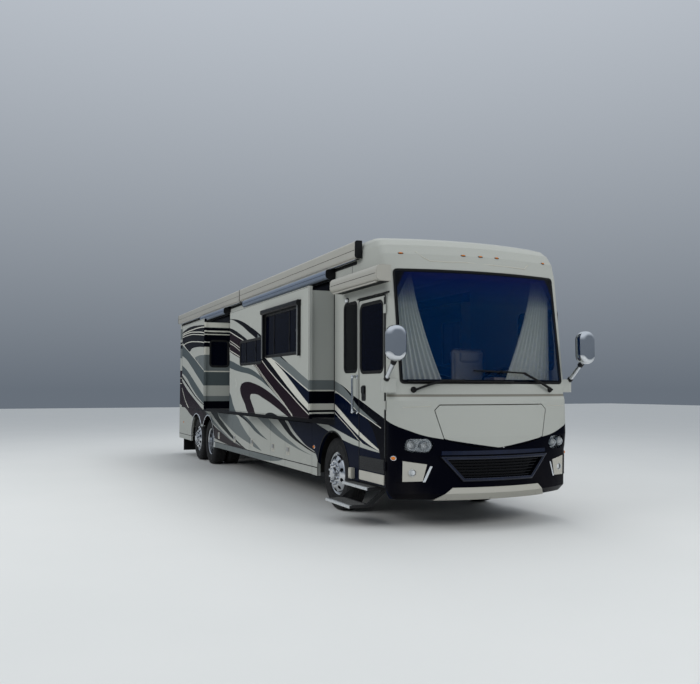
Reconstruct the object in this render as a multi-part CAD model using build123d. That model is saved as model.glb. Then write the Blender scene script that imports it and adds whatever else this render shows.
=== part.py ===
"""A tag-axle class A motorhome, about 13.25 m long, built as separate pieces in millimetres.

Stations along the coach are measured from the front axle: positive forward, negative rearward. The right
side, with the entry door, is at negative Y. Heights are above the ground. At the end every piece is moved
forward by SHIFT, so that the origin lies on the ground at the middle of the overall length.
"""

import math
import os

from build123d import *

# Driving dimensions
OVERALL_LENGTH = 13250
FRONT_OVERHANG = 2280
SHIFT = OVERALL_LENGTH / 2 - FRONT_OVERHANG
REAR_END = FRONT_OVERHANG - OVERALL_LENGTH
HALF = 1289
WALL = 50
PANEL = 40
DECK_EDGE = 1243
GAP = 8
DRIVE_AXLE = -7590
TAG_AXLE = -8800

# Heights
SKIRT_Z = 420
DOOR_TOP_Z = 1180
DECK_Z = 1190
DECK = 50
SLIDE_Z = (1300, 3085)
FASCIA_Z = (1285, 3140)
WALL_TOP = 3500
CEILING_Z = 3560

# Joint planes between the caps and the walls
CAP_BACK = 720
CAP_FRONT_SIDE = 1748
CAP_OVER_DOOR = 2950
REAR_JOINT = -10700

# Entry door
DOOR_X = (930, 1740)
DOOR_Z = (500, 2860)
DOOR_GLASS = (985, 1665, 1910, 2790)
SIDE_GLASS = (440, 870, 1930, 2850)
DRIVER_GLASS = (860, 1720, 1950, 2780)
DOOR_GLASS_R = 85
SIDE_GLASS_R = 70
DRIVER_GLASS_R = 80
GLASS_Y = (HALF - 20, HALF - 8)
THROUGH = (1000, 1400)

# Slide-out rooms: side, rear and front stations, depth outside the wall, inner end behind the wall face
SLIDES = {
    "mid_slide": (-1, -4190, 60, 390, 210),
    "rear_slide": (-1, -7830, -5700, 550, 210),
    "left_slide": (1, -8900, -400, 550, 210),
}
FASCIA = 50
SLIDE_WALL = 45
FLANGE = 35

# Bays and their doors: stations of the seams, front to rear; on the left the second bay has a fixed panel
BAY_SEAMS = (-820, -2090, -2890, -4190, -5420, -6710)
LEFT_FIXED = 2
DOOR_Y = (HALF - PANEL, HALF)

# Wheels
TYRE_R = 508
TYRE_W = 285
RIM_HALF = 112
RIM_EDGE_R = 300
DISC_OFFSET = 160
SINGLE_Y = 1093
DUAL_Y = (1095, 765)
KINGPIN_Y = 985
PIN_R = 25
SPINDLE_R = 45
DRIVE_SPINDLE_R = 60
RUNNING = 0.06
ARCH_R = 590
HAND_HOLES = 10

# Chassis rails
RAIL_Y = (390, 460)
RAIL_Z = (700, 960)

# Hinges of the entry door
DOOR_HINGE_AXIS = (1750, -1300)
DOOR_HINGES = (760, 1500, 2680)
HINGE_BARREL = (9, 110)
HINGE_LEAF = (60, 4, 50)

# Steps and steering
STEP_X = (640, 1440)
UPPER_TREAD = (-1400, -1120, 440, 475)
LOWER_TREAD = (-1640, -1360, 235, 268)
STRUT = 70
TIE_ROD_X = -230
TIE_ROD_Y = 870
TIE_ROD_Z = 345
STEERING_ARM = ((-50, 935), (-50, 1035), (-100, 965), (-258, 900), (-258, 845), (-205, 845))
WHEEL_TILT = 32

os.makedirs("parts", exist_ok=True)


def write(name, *solids):
    """One STEP file for one named piece, moved from axle stations to the coach's own frame."""
    found = [s for shape in solids for s in shape.solids()]
    placed = Pos(SHIFT, 0, 0) * Compound(children=found)
    export_step(placed, f"parts/{name}.step")


def block(x0, x1, y0, y1, z0, z1):
    """A box from its lowest to its highest corner."""
    return Pos((x0 + x1) / 2, (y0 + y1) / 2, (z0 + z1) / 2) * Box(x1 - x0, y1 - y0, z1 - z0)


def mirrored(shape):
    """The same piece on the other side of the coach."""
    return mirror(shape, about=Plane.XZ)


def rounded_plate(x0, x1, z0, z1, radius, y0, y1):
    """An upright plate in the XZ plane with round corners, as a side window is."""
    face = Pos((x0 + x1) / 2, -(z0 + z1) / 2) * RectangleRounded(x1 - x0, z1 - z0, radius)
    upright = Rot(X=90) * (mirror(face, about=Plane.XZ))
    return Pos(0, y1, 0) * extrude(upright, (y1 - y0), dir=(0, -1, 0))


def side_profile(points, y0, y1):
    """A closed outline in the XZ plane drawn out from y0 to y1."""
    face = make_face(Polyline(*[(x, 0, z) for x, z in points], close=True))
    return Pos(0, y0, 0) * extrude(face, y1 - y0, dir=(0, 1, 0))


def front_profile(points, x0, x1):
    """A closed outline in the YZ plane drawn out from x0 to x1."""
    face = make_face(Polyline(*[(0, y, z) for y, z in points], close=True))
    return Pos(x0, 0, 0) * extrude(face, x1 - x0, dir=(1, 0, 0))


def spun(points, y_centre, side):
    """A ring about the Y axis from a closed outline of (distance outboard, radius)."""
    face = make_face(Polyline(*[(r, side * a, 0) for a, r in points], close=True))
    return Pos(0, side * y_centre, 0) * revolve(face, Axis.Y)


def across(radius, length):
    """A round bar across the coach."""
    return Rot(X=90) * Cylinder(radius, length)


def rod(start, end, radius):
    """A round bar between two points."""
    line = Line(start, end)
    return sweep(Plane(line @ 0, z_dir=line % 0) * Circle(radius), path=line)


# Front body: a shell through plan outlines at rising heights
# columns: height, front at the centre line, how far it falls back at the side, corner radius, half width
FRONT_SECTIONS = (
    (372, 2150, 370, 200, 1262),
    (450, 2246, 395, 210, 1289),
    (900, 2264, 395, 210, 1289),
    (965, 2246, 350, 215, 1289),
    (1120, 2232, 300, 220, 1289),
    (1560, 2168, 236, 200, 1289),
    (1630, 2118, 222, 170, 1289),
    (1770, 2102, 208, 150, 1289),
    (3180, 1912, 207, 70, 1289),
    (3380, 1864, 207, 90, 1289),
    (3500, 1796, 207, 150, 1285),
    (3580, 1690, 206, 150, 1265),
    (3630, 1540, 204, 150, 1225),
    (3655, 1340, 200, 150, 1160),
    (3668, 1080, 195, 150, 1040),
)
MASK_Z = (965, 1634)
WINDSCREEN = (-1182, 1182, 1768, 3178)
WINDSCREEN_R = 45
HOOD_TOP = (800, 1500, 60)
HOOD_FOOT = (705, 1105, 990)
HOOD_GAP = 12
HOOD_SKIN = 25
GRILLE = ((-775, 895), (775, 895), (495, 590), (-495, 590))
GRILLE_RIM = 42
GRILLE_PROUD = 16
GRILLE_BACK = 44
SLAT = 12
SLAT_PITCH = 36
LIP = ((-800, 360), (800, 360), (610, 520), (-610, 520))
LIP_SKIN = 30
LIP_PROUD = 10
LAMP = (1000, 1020, 330, 165)
LAMP_COVER = 5
BARREL_WALL = 8
BARREL_INSET = 14
BULB_INSET = 20
TRAY = 12
PROJECTORS = ((1085, 1024, 58), (935, 1016, 52))
FOG_LAMP = (1062, 700, 38)
FOG_BEZEL = ((910, 800), (1236, 848), (1236, 590), (955, 600))
BEZEL_PROUD = 6


def plan_outline(z, front, bow, corner, half, inset=0.0):
    """The closed plan outline at one height, inset evenly for the inner skin."""
    front, half, corner = front - inset, half - inset, corner - inset / 2
    bend = (half**2 + bow**2) / (2 * bow)
    centre = front - bend
    corner_x = centre + math.sqrt((bend - corner) ** 2 - (half - corner) ** 2)
    away = math.atan2(half - corner, corner_x - centre)
    touch = (centre + bend * math.cos(away), bend * math.sin(away))
    between = (away + math.pi / 2) / 2
    middle = (corner_x + corner * math.cos(between), half - corner + corner * math.sin(between))
    back = CAP_BACK - (inset > 0)
    left = [(back, half), (corner_x, half), middle, touch]
    right = [(x, -y) for x, y in left]
    edges = [
        Line((*left[0], z), (*left[1], z)),
        ThreePointArc((*left[1], z), (*left[2], z), (*left[3], z)),
        ThreePointArc((*left[3], z), (front, 0, z), (*right[3], z)),
        ThreePointArc((*right[3], z), (*right[2], z), (*right[1], z)),
        Line((*right[1], z), (*right[0], z)),
        Line((*right[0], z), (*left[0], z)),
    ]
    return make_face(Wire(edges))


def front_body(inset=0.0):
    """The whole front body as one solid, or its inside when it is inset."""
    faces = []
    for z, front, bow, corner, half in FRONT_SECTIONS:
        lowered = z - (inset if z > WALL_TOP else 0)
        if inset and z < FRONT_SECTIONS[1][0]:
            lowered = z - 10
        faces.append(plan_outline(lowered, front, bow, corner, half, inset))
    return loft(faces, ruled=True)


def hood_face(gap=0.0):
    """The hood's outline with straight sides and a bowed foot, or its hole when given a gap."""
    half, top, corner = HOOD_TOP
    foot_half, foot, dip = HOOD_FOOT
    upper = [(-foot_half, foot), (-half, top - corner), (-half + corner, top)]
    upper += [(y * -1, z) for y, z in reversed(upper)]
    edges = [Line((0, *a), (0, *b)) for a, b in zip(upper, upper[1:])]
    edges.append(ThreePointArc((0, *upper[-1]), (0, 0, dip), (0, *upper[0])))
    face = make_face(Wire(edges))
    return offset(face, gap) if gap else face


def across_front(face):
    """A prism along the coach through the front wall, from an outline in the YZ plane."""
    return Pos(1700, 0, 0) * extrude(face, 1000, dir=(1, 0, 0))


def quad(points, side=1):
    """A closed outline in the YZ plane, on either side of the coach."""
    return make_face(Polyline(*[(0, side * y, z) for y, z in points], close=True))


def lamp_outline(side):
    """The rounded opening of one head lamp, seen from the front."""
    y, z, width, height = LAMP
    return Pos(0, side * y, z) * (Plane.YZ * SlotOverall(width, height))


def round_outline(side, y, z, radius):
    """A round opening seen from the front."""
    return Pos(0, side * y, z) * (Plane.YZ * Circle(radius))


def front_pieces():
    """The cap with its pillars, the mask, the bumper and the hood from one shell, and the windscreen."""
    outer = front_body()
    shell = outer - front_body(WALL)
    y0, y1, z0, z1 = WINDSCREEN
    outline = Plane.YZ * RectangleRounded(y1 - y0, z1 - z0, WINDSCREEN_R)
    screen_hole = Pos(1500, 0, (z0 + z1) / 2) * extrude(outline, 1000)
    glass = (outer - front_body(16)) & screen_hole
    cap = shell & block(CAP_BACK, 3000, -2000, 2000, MASK_Z[1], 4000)
    cap -= screen_hole
    cap -= block(0, CAP_FRONT_SIDE, -2000, 2000, 0, CAP_OVER_DOOR)
    lower = shell & block(CAP_FRONT_SIDE, 3000, -2000, 2000, 0, MASK_Z[1])
    for side in (-1, 1):
        for face in (lamp_outline(side), round_outline(side, *FOG_LAMP), quad(FOG_BEZEL, side)):
            lower -= across_front(face)
    lower -= across_front(quad(GRILLE)) + across_front(quad(LIP))
    hood_hole = across_front(hood_face(HOOD_GAP))
    hood = (lower & across_front(hood_face())) - front_body(HOOD_SKIN)
    lower -= hood_hole
    mask = lower & block(0, 3000, -2000, 2000, MASK_Z[0], MASK_Z[1])
    bumper = lower & block(0, 3000, -2000, 2000, 0, MASK_Z[0])
    return cap, mask, bumper, hood, glass


def grille():
    """A proud rim round a row of level slats, with a plate behind them, all bowed like the bumper."""
    opening = quad(GRILLE)
    mouth = across_front(offset(opening, -GRILLE_RIM))
    whole = across_front(opening)
    rim = ((front_body(-GRILLE_PROUD) - front_body(WALL)) & whole) - mouth
    plate = (front_body(GRILLE_BACK) - front_body(WALL)) & whole
    low, high = GRILLE[2][1] + GRILLE_RIM, GRILLE[0][1] - GRILLE_RIM
    slats = []
    for k in range(round((high - low) / SLAT_PITCH)):
        z = low + SLAT_PITCH * (k + 0.5)
        slats.append(block(1700, 2700, -2000, 2000, z - SLAT / 2, z + SLAT / 2))
    bars = (front_body(8) - front_body(GRILLE_BACK + 2)) & mouth
    bars = bars & Compound(children=slats)
    return rim + plate + bars


def front_lamps():
    """For each side the clear covers, the lamp housings behind them, and the bezel round the fog lamp."""
    covers, housings, bezels = [], [], []
    outer = front_body()
    for side in (-1, 1):
        opening = across_front(lamp_outline(side))
        covers.append((outer - front_body(LAMP_COVER)) & opening)
        tray = (front_body(WALL - TRAY) - front_body(WALL)) & opening
        for y, z, radius in PROJECTORS:
            barrel = across_front(round_outline(side, y, z, radius))
            barrel -= across_front(round_outline(side, y, z, radius - BARREL_WALL))
            bulb = across_front(round_outline(side, y, z, radius - BULB_INSET))
            tray += barrel & (front_body(BARREL_INSET) - front_body(WALL))
            tray += bulb & (front_body(BULB_INSET) - front_body(WALL))
        housings.append(tray)
        fog = across_front(round_outline(side, *FOG_LAMP))
        covers.append((outer - front_body(LAMP_COVER)) & fog)
        housings.append((front_body(BULB_INSET) - front_body(WALL)) & fog)
        bezel = across_front(quad(FOG_BEZEL, side)) & (front_body(-BEZEL_PROUD) - front_body(WALL))
        bezels.append((bezel & block(0, 3000, -HALF, HALF, 0, 3000)) - fog)
    return covers, housings, bezels


cap, mask, bumper, hood, windscreen = front_pieces()
head_lamps, lamp_housings, fog_bezels = front_lamps()
write("front_cap", cap)
write("front_mask", mask)
write("front_bumper", bumper)
write("hood", hood)
write("grille_and_lamp_housings", grille(), *lamp_housings)
front_lip = (front_body(-LIP_PROUD) - front_body(LIP_SKIN)) & across_front(quad(LIP))

# Side walls, each one plate with its openings cut


def front_side_limit():
    """The space within the body's sides: all of it behind the cap joint, the front body ahead of it."""
    return block(REAR_END, CAP_BACK, -2000, 2000, 0, 4000) + front_body()


def side_wall(side):
    """One side wall with the slide openings, windows and, on the right, the doorway."""
    wall = block(REAR_JOINT, CAP_FRONT_SIDE, HALF - WALL, HALF, DECK_Z, WALL_TOP)
    wall -= block(CAP_BACK, CAP_FRONT_SIDE, HALF - WALL, HALF, CAP_OVER_DOOR, WALL_TOP)
    wall = wall & front_side_limit()
    for slide_side, rear, front, _, _ in SLIDES.values():
        if slide_side == side:
            wall -= block(rear - 10, front + 10, 0, 2000, SLIDE_Z[0] - 10, SLIDE_Z[1] + 10)
    if side < 0:
        wall -= block(DOOR_X[0] - GAP, DOOR_X[1] + GAP, 0, 2000, 0, DOOR_Z[1] + GAP)
        wall -= rounded_plate(*SIDE_GLASS, SIDE_GLASS_R, *THROUGH)
        return mirrored(wall)
    return wall - rounded_plate(*DRIVER_GLASS, DRIVER_GLASS_R, *THROUGH)


write("right_side_wall", side_wall(-1))
write("left_side_wall", side_wall(1))
cab_windows = (
    mirrored(rounded_plate(*SIDE_GLASS, SIDE_GLASS_R, *GLASS_Y)),
    rounded_plate(*DRIVER_GLASS, DRIVER_GLASS_R, *GLASS_Y),
)
write("windscreen_and_cab_windows", windscreen, *cab_windows)

# Roof and rear cap follow the same rounded shoulder as the front cap
SHOULDER = ((3500, 1285), (3580, 1265), (3630, 1225), (3655, 1160), (3668, 1040), (3676, 500))


def shoulder_outline(bottom):
    """The cross-section of the body from a bottom height up over the rounded shoulders."""
    left = [(HALF, bottom)] if bottom < WALL_TOP else []
    left += [(y, z) for z, y in SHOULDER]
    return left + [(-y, z) for y, z in reversed(left)]


roof = front_profile(shoulder_outline(WALL_TOP), REAR_JOINT, CAP_BACK)
roof -= block(REAR_JOINT, CAP_BACK, -(HALF - WALL), HALF - WALL, WALL_TOP - 10, CEILING_Z)
write("roof", roof)

HATCH_Y, HATCH_Z = 760, (600, 1500)
HATCH = 40
REAR_RADIUS = 110
LOUVRE = (560, 1010, 22, 54, 8)
TAIL_LAMP = (1000, 1180, 1300, 1900)


def rear_pieces():
    """The rear cap, its engine hatch and the tail lamp lenses."""
    body = front_profile(shoulder_outline(SKIRT_Z), REAR_END, REAR_JOINT)
    across = body.faces().sort_by(Axis.X)[0].edges().sort_by(Axis.Y)
    body = fillet([across[0], across[-1]], REAR_RADIUS)
    body -= block(REAR_END + WALL, REAR_JOINT, -(HALF - WALL), HALF - WALL, 0, CEILING_Z)
    body -= block(REAR_END - 10, REAR_JOINT, -820, 820, 0, 560)
    half = HATCH_Y + GAP
    body -= block(REAR_END - 10, REAR_END + 200, -half, half, HATCH_Z[0] - GAP, HATCH_Z[1] + GAP)
    hatch = block(REAR_END, REAR_END + HATCH, -HATCH_Y, HATCH_Y, *HATCH_Z)
    half, low, height, pitch, count = LOUVRE
    for k in range(count):
        z = low + k * pitch
        hatch -= block(REAR_END, REAR_END + HATCH, -half, half, z, z + height)
    lamps = []
    for side in (-1, 1):
        y0, y1, z0, z1 = TAIL_LAMP
        pod = Pos(REAR_END - 10, side * (y0 + y1) / 2, (z0 + z1) / 2)
        pod *= extrude(Plane.YZ * RectangleRounded(y1 - y0, z1 - z0, 50), 40)
        lamps.append(body & pod)
        body -= pod
    return body, hatch, lamps


rear_cap, engine_hatch, tail_lamps = rear_pieces()
write("rear_cap", rear_cap)
write("engine_hatch", engine_hatch)
write("lamp_lenses", *head_lamps, *tail_lamps)

# Deck, stepwell and the bays below it
RAIL_CLEAR = 6
BULKHEAD = 24
DECK_FRONT = 1700
PAN_Z = (440, 460)
WELL_X = (960, 1670)
WELL_Y = (-1225, -650)
WELL_FLOOR_Z = 665
PIT_TOP = DECK_Z - DECK
INNER_STEP_Z = 915
SHEET = 25


def rails(grow=0.0):
    """Both chassis rails, as plain bars that can be grown to cut their way through."""
    bars = []
    for side in (-1, 1):
        y0, y1 = sorted((side * (RAIL_Y[0] - grow), side * (RAIL_Y[1] + grow)))
        bars.append(block(REAR_JOINT, DECK_FRONT, y0, y1, RAIL_Z[0] - grow, RAIL_Z[1] + grow))
    return bars[0] + bars[1]


def deck_and_bays():
    """The coach floor with its stepwell, the belly pan and the bulkheads between the bays."""
    edge = DECK_EDGE
    deck = block(REAR_JOINT, DECK_FRONT, -edge, edge, DECK_Z - DECK, DECK_Z)
    deck -= block(DOOR_X[0] - 30, DECK_FRONT + 10, -edge - 10, WELL_Y[0], 0, DECK_Z + 10)
    deck -= block(*WELL_X, -edge - 10, WELL_Y[1], 0, DECK_Z + 10)
    well = block(WELL_X[0] - 20, WELL_X[1] + 20, WELL_Y[0], WELL_Y[1] + 20, WELL_FLOOR_Z - SHEET, PIT_TOP)
    well -= block(*WELL_X, -edge - 10, WELL_Y[1], WELL_FLOOR_Z, DECK_Z)
    tread_y = WELL_Y[1] - 10 * SHEET
    well += block(*WELL_X, tread_y, WELL_Y[1], INNER_STEP_Z - SHEET, INNER_STEP_Z)
    well += block(*WELL_X, tread_y - 10, tread_y + SHEET - 10, WELL_FLOOR_Z, INNER_STEP_Z)
    bays = block(BAY_SEAMS[-1], BAY_SEAMS[0], -edge + 6, edge - 6, *PAN_Z)
    for x in BAY_SEAMS:
        shift = {BAY_SEAMS[0]: -BULKHEAD, BAY_SEAMS[-1]: 0}.get(x, -BULKHEAD / 2)
        bays += block(x + shift, x + shift + BULKHEAD, -edge + 6, edge - 6, PAN_Z[0], DECK_Z - DECK)
    bays -= rails(RAIL_CLEAR)
    return deck + well + bays


write("deck_and_bays", deck_and_bays())

# Chassis: channel rails and crossmembers, the hitch, the exhaust and the mud flaps
RAIL_X = (-10760, 1640)
RAIL_WEB = 12
RAIL_FLANGE = 14
CROSSMEMBERS = (1500, 800, -700, -2300, -4500, -6500, -8200, -9350, -10600)
CROSSMEMBER = (45, 30)
HITCH_X = (-10760, -10680)
RECEIVER_Z = 385
RECEIVER = 38
SOCKET = 26
HITCH_PIN_R = 8
HITCH_PIN_X = -10900
PIPE = (-10905, -9755, -720, 545, 62, 6)
FLAP_X = -9450
FLAP_Y = (880, 1210)
FLAP_Z = 230
ENGINE = (-10520, -9400, 560)


def chassis():
    """The ladder frame: two rails open towards each other, and the crossmembers between their webs."""
    pieces = []
    for side in (-1, 1):
        y0, y1 = sorted((side * RAIL_Y[0], side * RAIL_Y[1]))
        rail = block(*RAIL_X, y0, y1, *RAIL_Z)
        y0, y1 = sorted((side * (RAIL_Y[0] - 1), side * (RAIL_Y[1] - RAIL_WEB)))
        pieces.append(rail - block(*RAIL_X, y0, y1, RAIL_Z[0] + RAIL_FLANGE, RAIL_Z[1] - RAIL_FLANGE))
    half, inset = CROSSMEMBER
    reach = RAIL_Y[1] - RAIL_WEB
    for x in CROSSMEMBERS:
        pieces.append(block(x - half, x + half, -reach, reach, RAIL_Z[0] + inset, RAIL_Z[1] - inset))
    return pieces


def hitch():
    """The receiver on a bar between two hangers under the ends of the rails."""
    foot = RECEIVER_Z - RECEIVER - 2
    shape = block(*HITCH_X, -RAIL_Y[1], RAIL_Y[1], foot, RECEIVER_Z + RECEIVER + 2)
    for side in (-1, 1):
        y0, y1 = sorted((side * RAIL_Y[0], side * RAIL_Y[1]))
        shape += block(*HITCH_X, y0, y1, foot, RAIL_Z[0])
    around = (RECEIVER_Z - RECEIVER, RECEIVER_Z + RECEIVER)
    shape += block(REAR_END + 20, HITCH_X[0], -RECEIVER, RECEIVER, *around)
    shape -= block(REAR_END, HITCH_X[0] - 10, -SOCKET, SOCKET, RECEIVER_Z - SOCKET, RECEIVER_Z + SOCKET)
    return shape - Pos(HITCH_PIN_X, 0, RECEIVER_Z) * Rot(X=90) * Cylinder(HITCH_PIN_R, 3 * RECEIVER)


def exhaust():
    """The tail pipe on its bracket beside the right hanger."""
    rear, front, y, z, radius, wall = PIPE
    pipe = Cylinder(radius, front - rear) - Cylinder(radius - wall, front - rear)
    pipe = Pos((rear + front) / 2, y, z) * Rot(Y=90) * pipe
    bracket = block(HITCH_X[0] + 20, HITCH_X[1] - 20, y, -RAIL_Y[1], z - radius - 13, z - radius + wall)
    return pipe + (bracket - Pos(HITCH_X[0], y, z) * Rot(Y=90) * Cylinder(radius - wall, 400))


def mud_flap(side):
    """A rubber flap behind the tag wheel with the arm that carries it."""
    y0, y1 = sorted((side * RAIL_Y[1], side * (FLAP_Y[1] - 10)))
    arm = block(FLAP_X - 20, FLAP_X + 30, y0, y1, RAIL_Z[0], RAIL_Z[0] + 50)
    y0, y1 = sorted((side * FLAP_Y[0], side * FLAP_Y[1]))
    return arm + block(FLAP_X - 6, FLAP_X + 6, y0, y1, FLAP_Z, RAIL_Z[0] + 20)


write("chassis_frame", *chassis())
write("hitch", hitch())
write("engine_block", block(*ENGINE[:2], -RAIL_Y[0], RAIL_Y[0], ENGINE[2], DECK_Z - DECK - 10))

# Fixed lower panels round the wheels, front to rear


def arch(x):
    """What a wheel arch cuts out of a lower panel."""
    round_top = Pos(x, 0, TYRE_R) * Rot(X=90) * Cylinder(ARCH_R, 4000)
    return round_top + block(x - ARCH_R + 20, x + ARCH_R - 20, -2000, 2000, 0, TYRE_R)


def lower_panels(side):
    """The fixed panels of one side: round the front wheel, round the rear wheels, and behind them."""
    front_edge = DOOR_X[0] - GAP if side < 0 else CAP_FRONT_SIDE
    front = block(BAY_SEAMS[0] + 4, front_edge, *DOOR_Y, SKIRT_Z, DECK_Z) - arch(20)
    if side < 0:
        front -= block(300, front_edge, 0, 2000, 0, 490)
    rear = block(REAR_JOINT, BAY_SEAMS[-1] - 4, *DOOR_Y, SKIRT_Z, DECK_Z)
    rear -= arch(DRIVE_AXLE) + arch(TAG_AXLE) + block(TAG_AXLE, DRIVE_AXLE, 0, 2000, 0, 830)
    pieces = [front, rear]
    if side < 0:
        return [mirrored(p) for p in pieces]
    rear_seam, front_seam = BAY_SEAMS[LEFT_FIXED], BAY_SEAMS[LEFT_FIXED - 1]
    pieces.append(block(rear_seam + 4, front_seam - 4, *DOOR_Y, SKIRT_Z, DECK_Z))
    return pieces


write("lower_panels", *lower_panels(-1), *lower_panels(1), front_lip, *fog_bezels)

# Bay doors, numbered front to rear
for side, word in ((-1, "right"), (1, "left")):
    for number, (front, rear) in enumerate(zip(BAY_SEAMS, BAY_SEAMS[1:]), 1):
        if side > 0 and number == LEFT_FIXED:
            continue
        y0, y1 = sorted((side * DOOR_Y[0], side * DOOR_Y[1]))
        write(f"bay_door_{word}_{number}", block(rear + 4, front - 4, y0, y1, SKIRT_Z + 5, DOOR_TOP_Z))

# Entry door with its window
door = block(*DOOR_X, -HALF, -HALF + WALL, *DOOR_Z)
door -= mirrored(rounded_plate(*DOOR_GLASS, DOOR_GLASS_R, *THROUGH))
door = door & front_side_limit()
for z in DOOR_HINGES:
    x, y = DOOR_HINGE_AXIS
    rear, front, half = HINGE_LEAF
    door += Pos(x, y, z) * Cylinder(*HINGE_BARREL)
    door += block(x - rear, x - front, y + 3, -HALF + 2, z - half, z + half)
write("entry_door", door)
write("entry_door_window", mirrored(rounded_plate(*DOOR_GLASS, DOOR_GLASS_R, *GLASS_Y)))

# Windows of the slide-outs: in the face (rear, front, bottom, top), in the end (inner, outer, bottom, top)
FACE_WINDOWS = {
    "mid_slide": ((-1960, -300, 2215, 2890), (-3480, -2160, 2130, 2540)),
    "rear_slide": (),
    "left_slide": ((-2300, -900, 2150, 2900), (-4700, -3600, 2300, 2800), (-7600, -6500, 2200, 2800)),
}
END_WINDOW = (1320, 1700, 2160, 2690)


def slide_room(name):
    """One slide-out room on the left: a fascia, and a box behind it that is open to the coach."""
    _, rear, front, depth, inner = SLIDES[name]
    outer = HALF + depth
    fascia = block(rear - FLANGE, front + FLANGE, outer - FASCIA, outer, *FASCIA_Z)
    fascia = fillet(fascia.edges().filter_by(Axis.Z).sort_by(Axis.Y)[-2:], 15)
    room = block(rear, front, HALF - inner, outer - 10, *SLIDE_Z)
    low, high = SLIDE_Z[0] + SLIDE_WALL, SLIDE_Z[1] - SLIDE_WALL
    hollow = block(rear + SLIDE_WALL, front - SLIDE_WALL, 0, outer - FASCIA, low, high)
    shape = fascia + room - hollow
    glass = []
    for x0, x1, z0, z1 in FACE_WINDOWS[name]:
        shape -= rounded_plate(x0, x1, z0, z1, 60, outer - 100, outer + 10)
        glass.append(rounded_plate(x0, x1, z0, z1, 60, outer - 20, outer - 8))
    if name == "rear_slide":
        y0, y1, z0, z1 = END_WINDOW
        outline = Plane.YZ * RectangleRounded(y1 - y0, z1 - z0, 60)
        hole = Pos(front - 100, (y0 + y1) / 2, (z0 + z1) / 2) * extrude(outline, 200)
        pane = hole & block(front - 20, front - 8, 0, 3000, 0, 4000)
        shape -= hole
        glass.append(pane)
    return shape, glass


for name, (side, *_) in SLIDES.items():
    room, panes = slide_room(name)
    if side < 0:
        room, panes = mirrored(room), [mirrored(p) for p in panes]
    write(name, room)
    write(f"{name}_windows", *panes)

# Window awning on the middle slide: case, folded arms and lower bar round the large window
AWNING_Y = (-(HALF + 390) - 75, -(HALF + 390))
AWNING_CASE = (60, 10, 92)
AWNING_ARM = 40


def window_awning():
    """The case above the large window with its two folded arms."""
    x0, x1, z0, z1 = FACE_WINDOWS["mid_slide"][0]
    y0, y1 = AWNING_Y
    past, low, high = AWNING_CASE
    case = block(x0 - past, x1 + past, y0, y1, z1 + low, z1 + high)
    case = fillet(case.edges().filter_by(Axis.X).sort_by(Axis.Y)[:2], 30)
    for x in (x0 - AWNING_ARM - 10, x1 + 10):
        case += block(x, x + AWNING_ARM, y0 + 30, y1, z0 - AWNING_ARM, z1 + AWNING_ARM)
    return case


write("window_awning", window_awning())

# Awning cases along the wall: (rear, front, bottom, top, depth) and the side they are on
CASES = (
    (-10650, -4630, 3405, 3640, 105, -1),
    (-4600, 1040, 3405, 3640, 105, -1),
    (420, 1900, 3000, 3200, 205, -1),
    (-4230, 110, 3250, 3385, 150, -1),
    (-7870, -5660, 3250, 3385, 150, -1),
    (-8940, -360, 3250, 3385, 150, 1),
)


def awning_case(rear, front, bottom, top, depth, side):
    """One closed awning case: a rounded nose on a flat back."""
    case = block(rear, front, HALF, HALF + depth, bottom, top)
    nose = case.edges().filter_by(Axis.X).sort_by(Axis.Y)[-2:]
    case = fillet(nose, min(depth, top - bottom) * 0.35)
    return mirrored(case) if side < 0 else case


write("awning_cases", *[awning_case(*c) for c in CASES])

# Wheels
TYRE_PROFILE = (
    (-102, 288),
    (-102, 301),
    (-128, 303),
    (-142, 380),
    (-138, 440),
    (-122, 490),
    (-100, TYRE_R - 4),
    (-60, TYRE_R),
    (60, TYRE_R),
    (100, TYRE_R - 4),
    (122, 490),
    (138, 440),
    (142, 380),
    (128, 303),
    (102, 301),
    (102, 288),
)
BARREL_PROFILE = (
    (-112, 300),
    (-112, 292),
    (-100, 270),
    (-40, 262),
    (40, 262),
    (100, 270),
    (112, 292),
    (112, 300),
    (103, 300),
    (103, 287.5),
    (60, 280),
    (-60, 280),
    (-103, 287.5),
    (-103, 300),
)
DISC_PROFILE = (
    (70, 275),
    (96, 275),
    (124, 254),
    (152, 206),
    (160, 182),
    (160, 96),
    (138, 96),
    (138, 176),
    (128, 198),
    (100, 240),
    (70, 262),
)
HUB_BORE = SPINDLE_R + RUNNING
HUB_PROFILE = (
    (-4, HUB_BORE),
    (-4, 100),
    (158, 100),
    (158, 92),
    (196, 84),
    (210, 60),
    (210, 0),
    (142, 0),
    (142, HUB_BORE),
)
DUAL_BORE = DRIVE_SPINDLE_R + RUNNING
DUAL_HUB_PROFILE = (
    (-25, DUAL_BORE),
    (-25, 105),
    (110, 105),
    (150, 96),
    (150, 0),
    (132, 0),
    (132, DUAL_BORE),
)
HAND_HOLE = (222, 27)


def tyre(y, side):
    """One tyre round the Y axis, its middle at y."""
    return spun(TYRE_PROFILE, y, side)


def rim(y, side, facing=1):
    """One disc wheel: its barrel, and a disc with hand holes that stands towards facing."""
    disc = spun([(facing * a, r) for a, r in DISC_PROFILE], y, side)
    for k in range(HAND_HOLES):
        angle = 360 / HAND_HOLES * (k + 0.5)
        hole = Pos(HAND_HOLE[0], 0, 0) * Rot(X=90) * Cylinder(HAND_HOLE[1], 200)
        hole = Pos(0, side * (y + facing * 125), 0) * Rot(Y=angle) * hole
        disc -= hole
    return disc + spun(BARREL_PROFILE, y, side)


def single_wheel(x, side):
    """Tyre and rim of a front or tag wheel, with a hub that runs on the spindle."""
    hub = spun(HUB_PROFILE, SINGLE_Y, side)
    place = Pos(x, 0, TYRE_R)
    return place * tyre(SINGLE_Y, side), place * (rim(SINGLE_Y, side) + hub)


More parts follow.
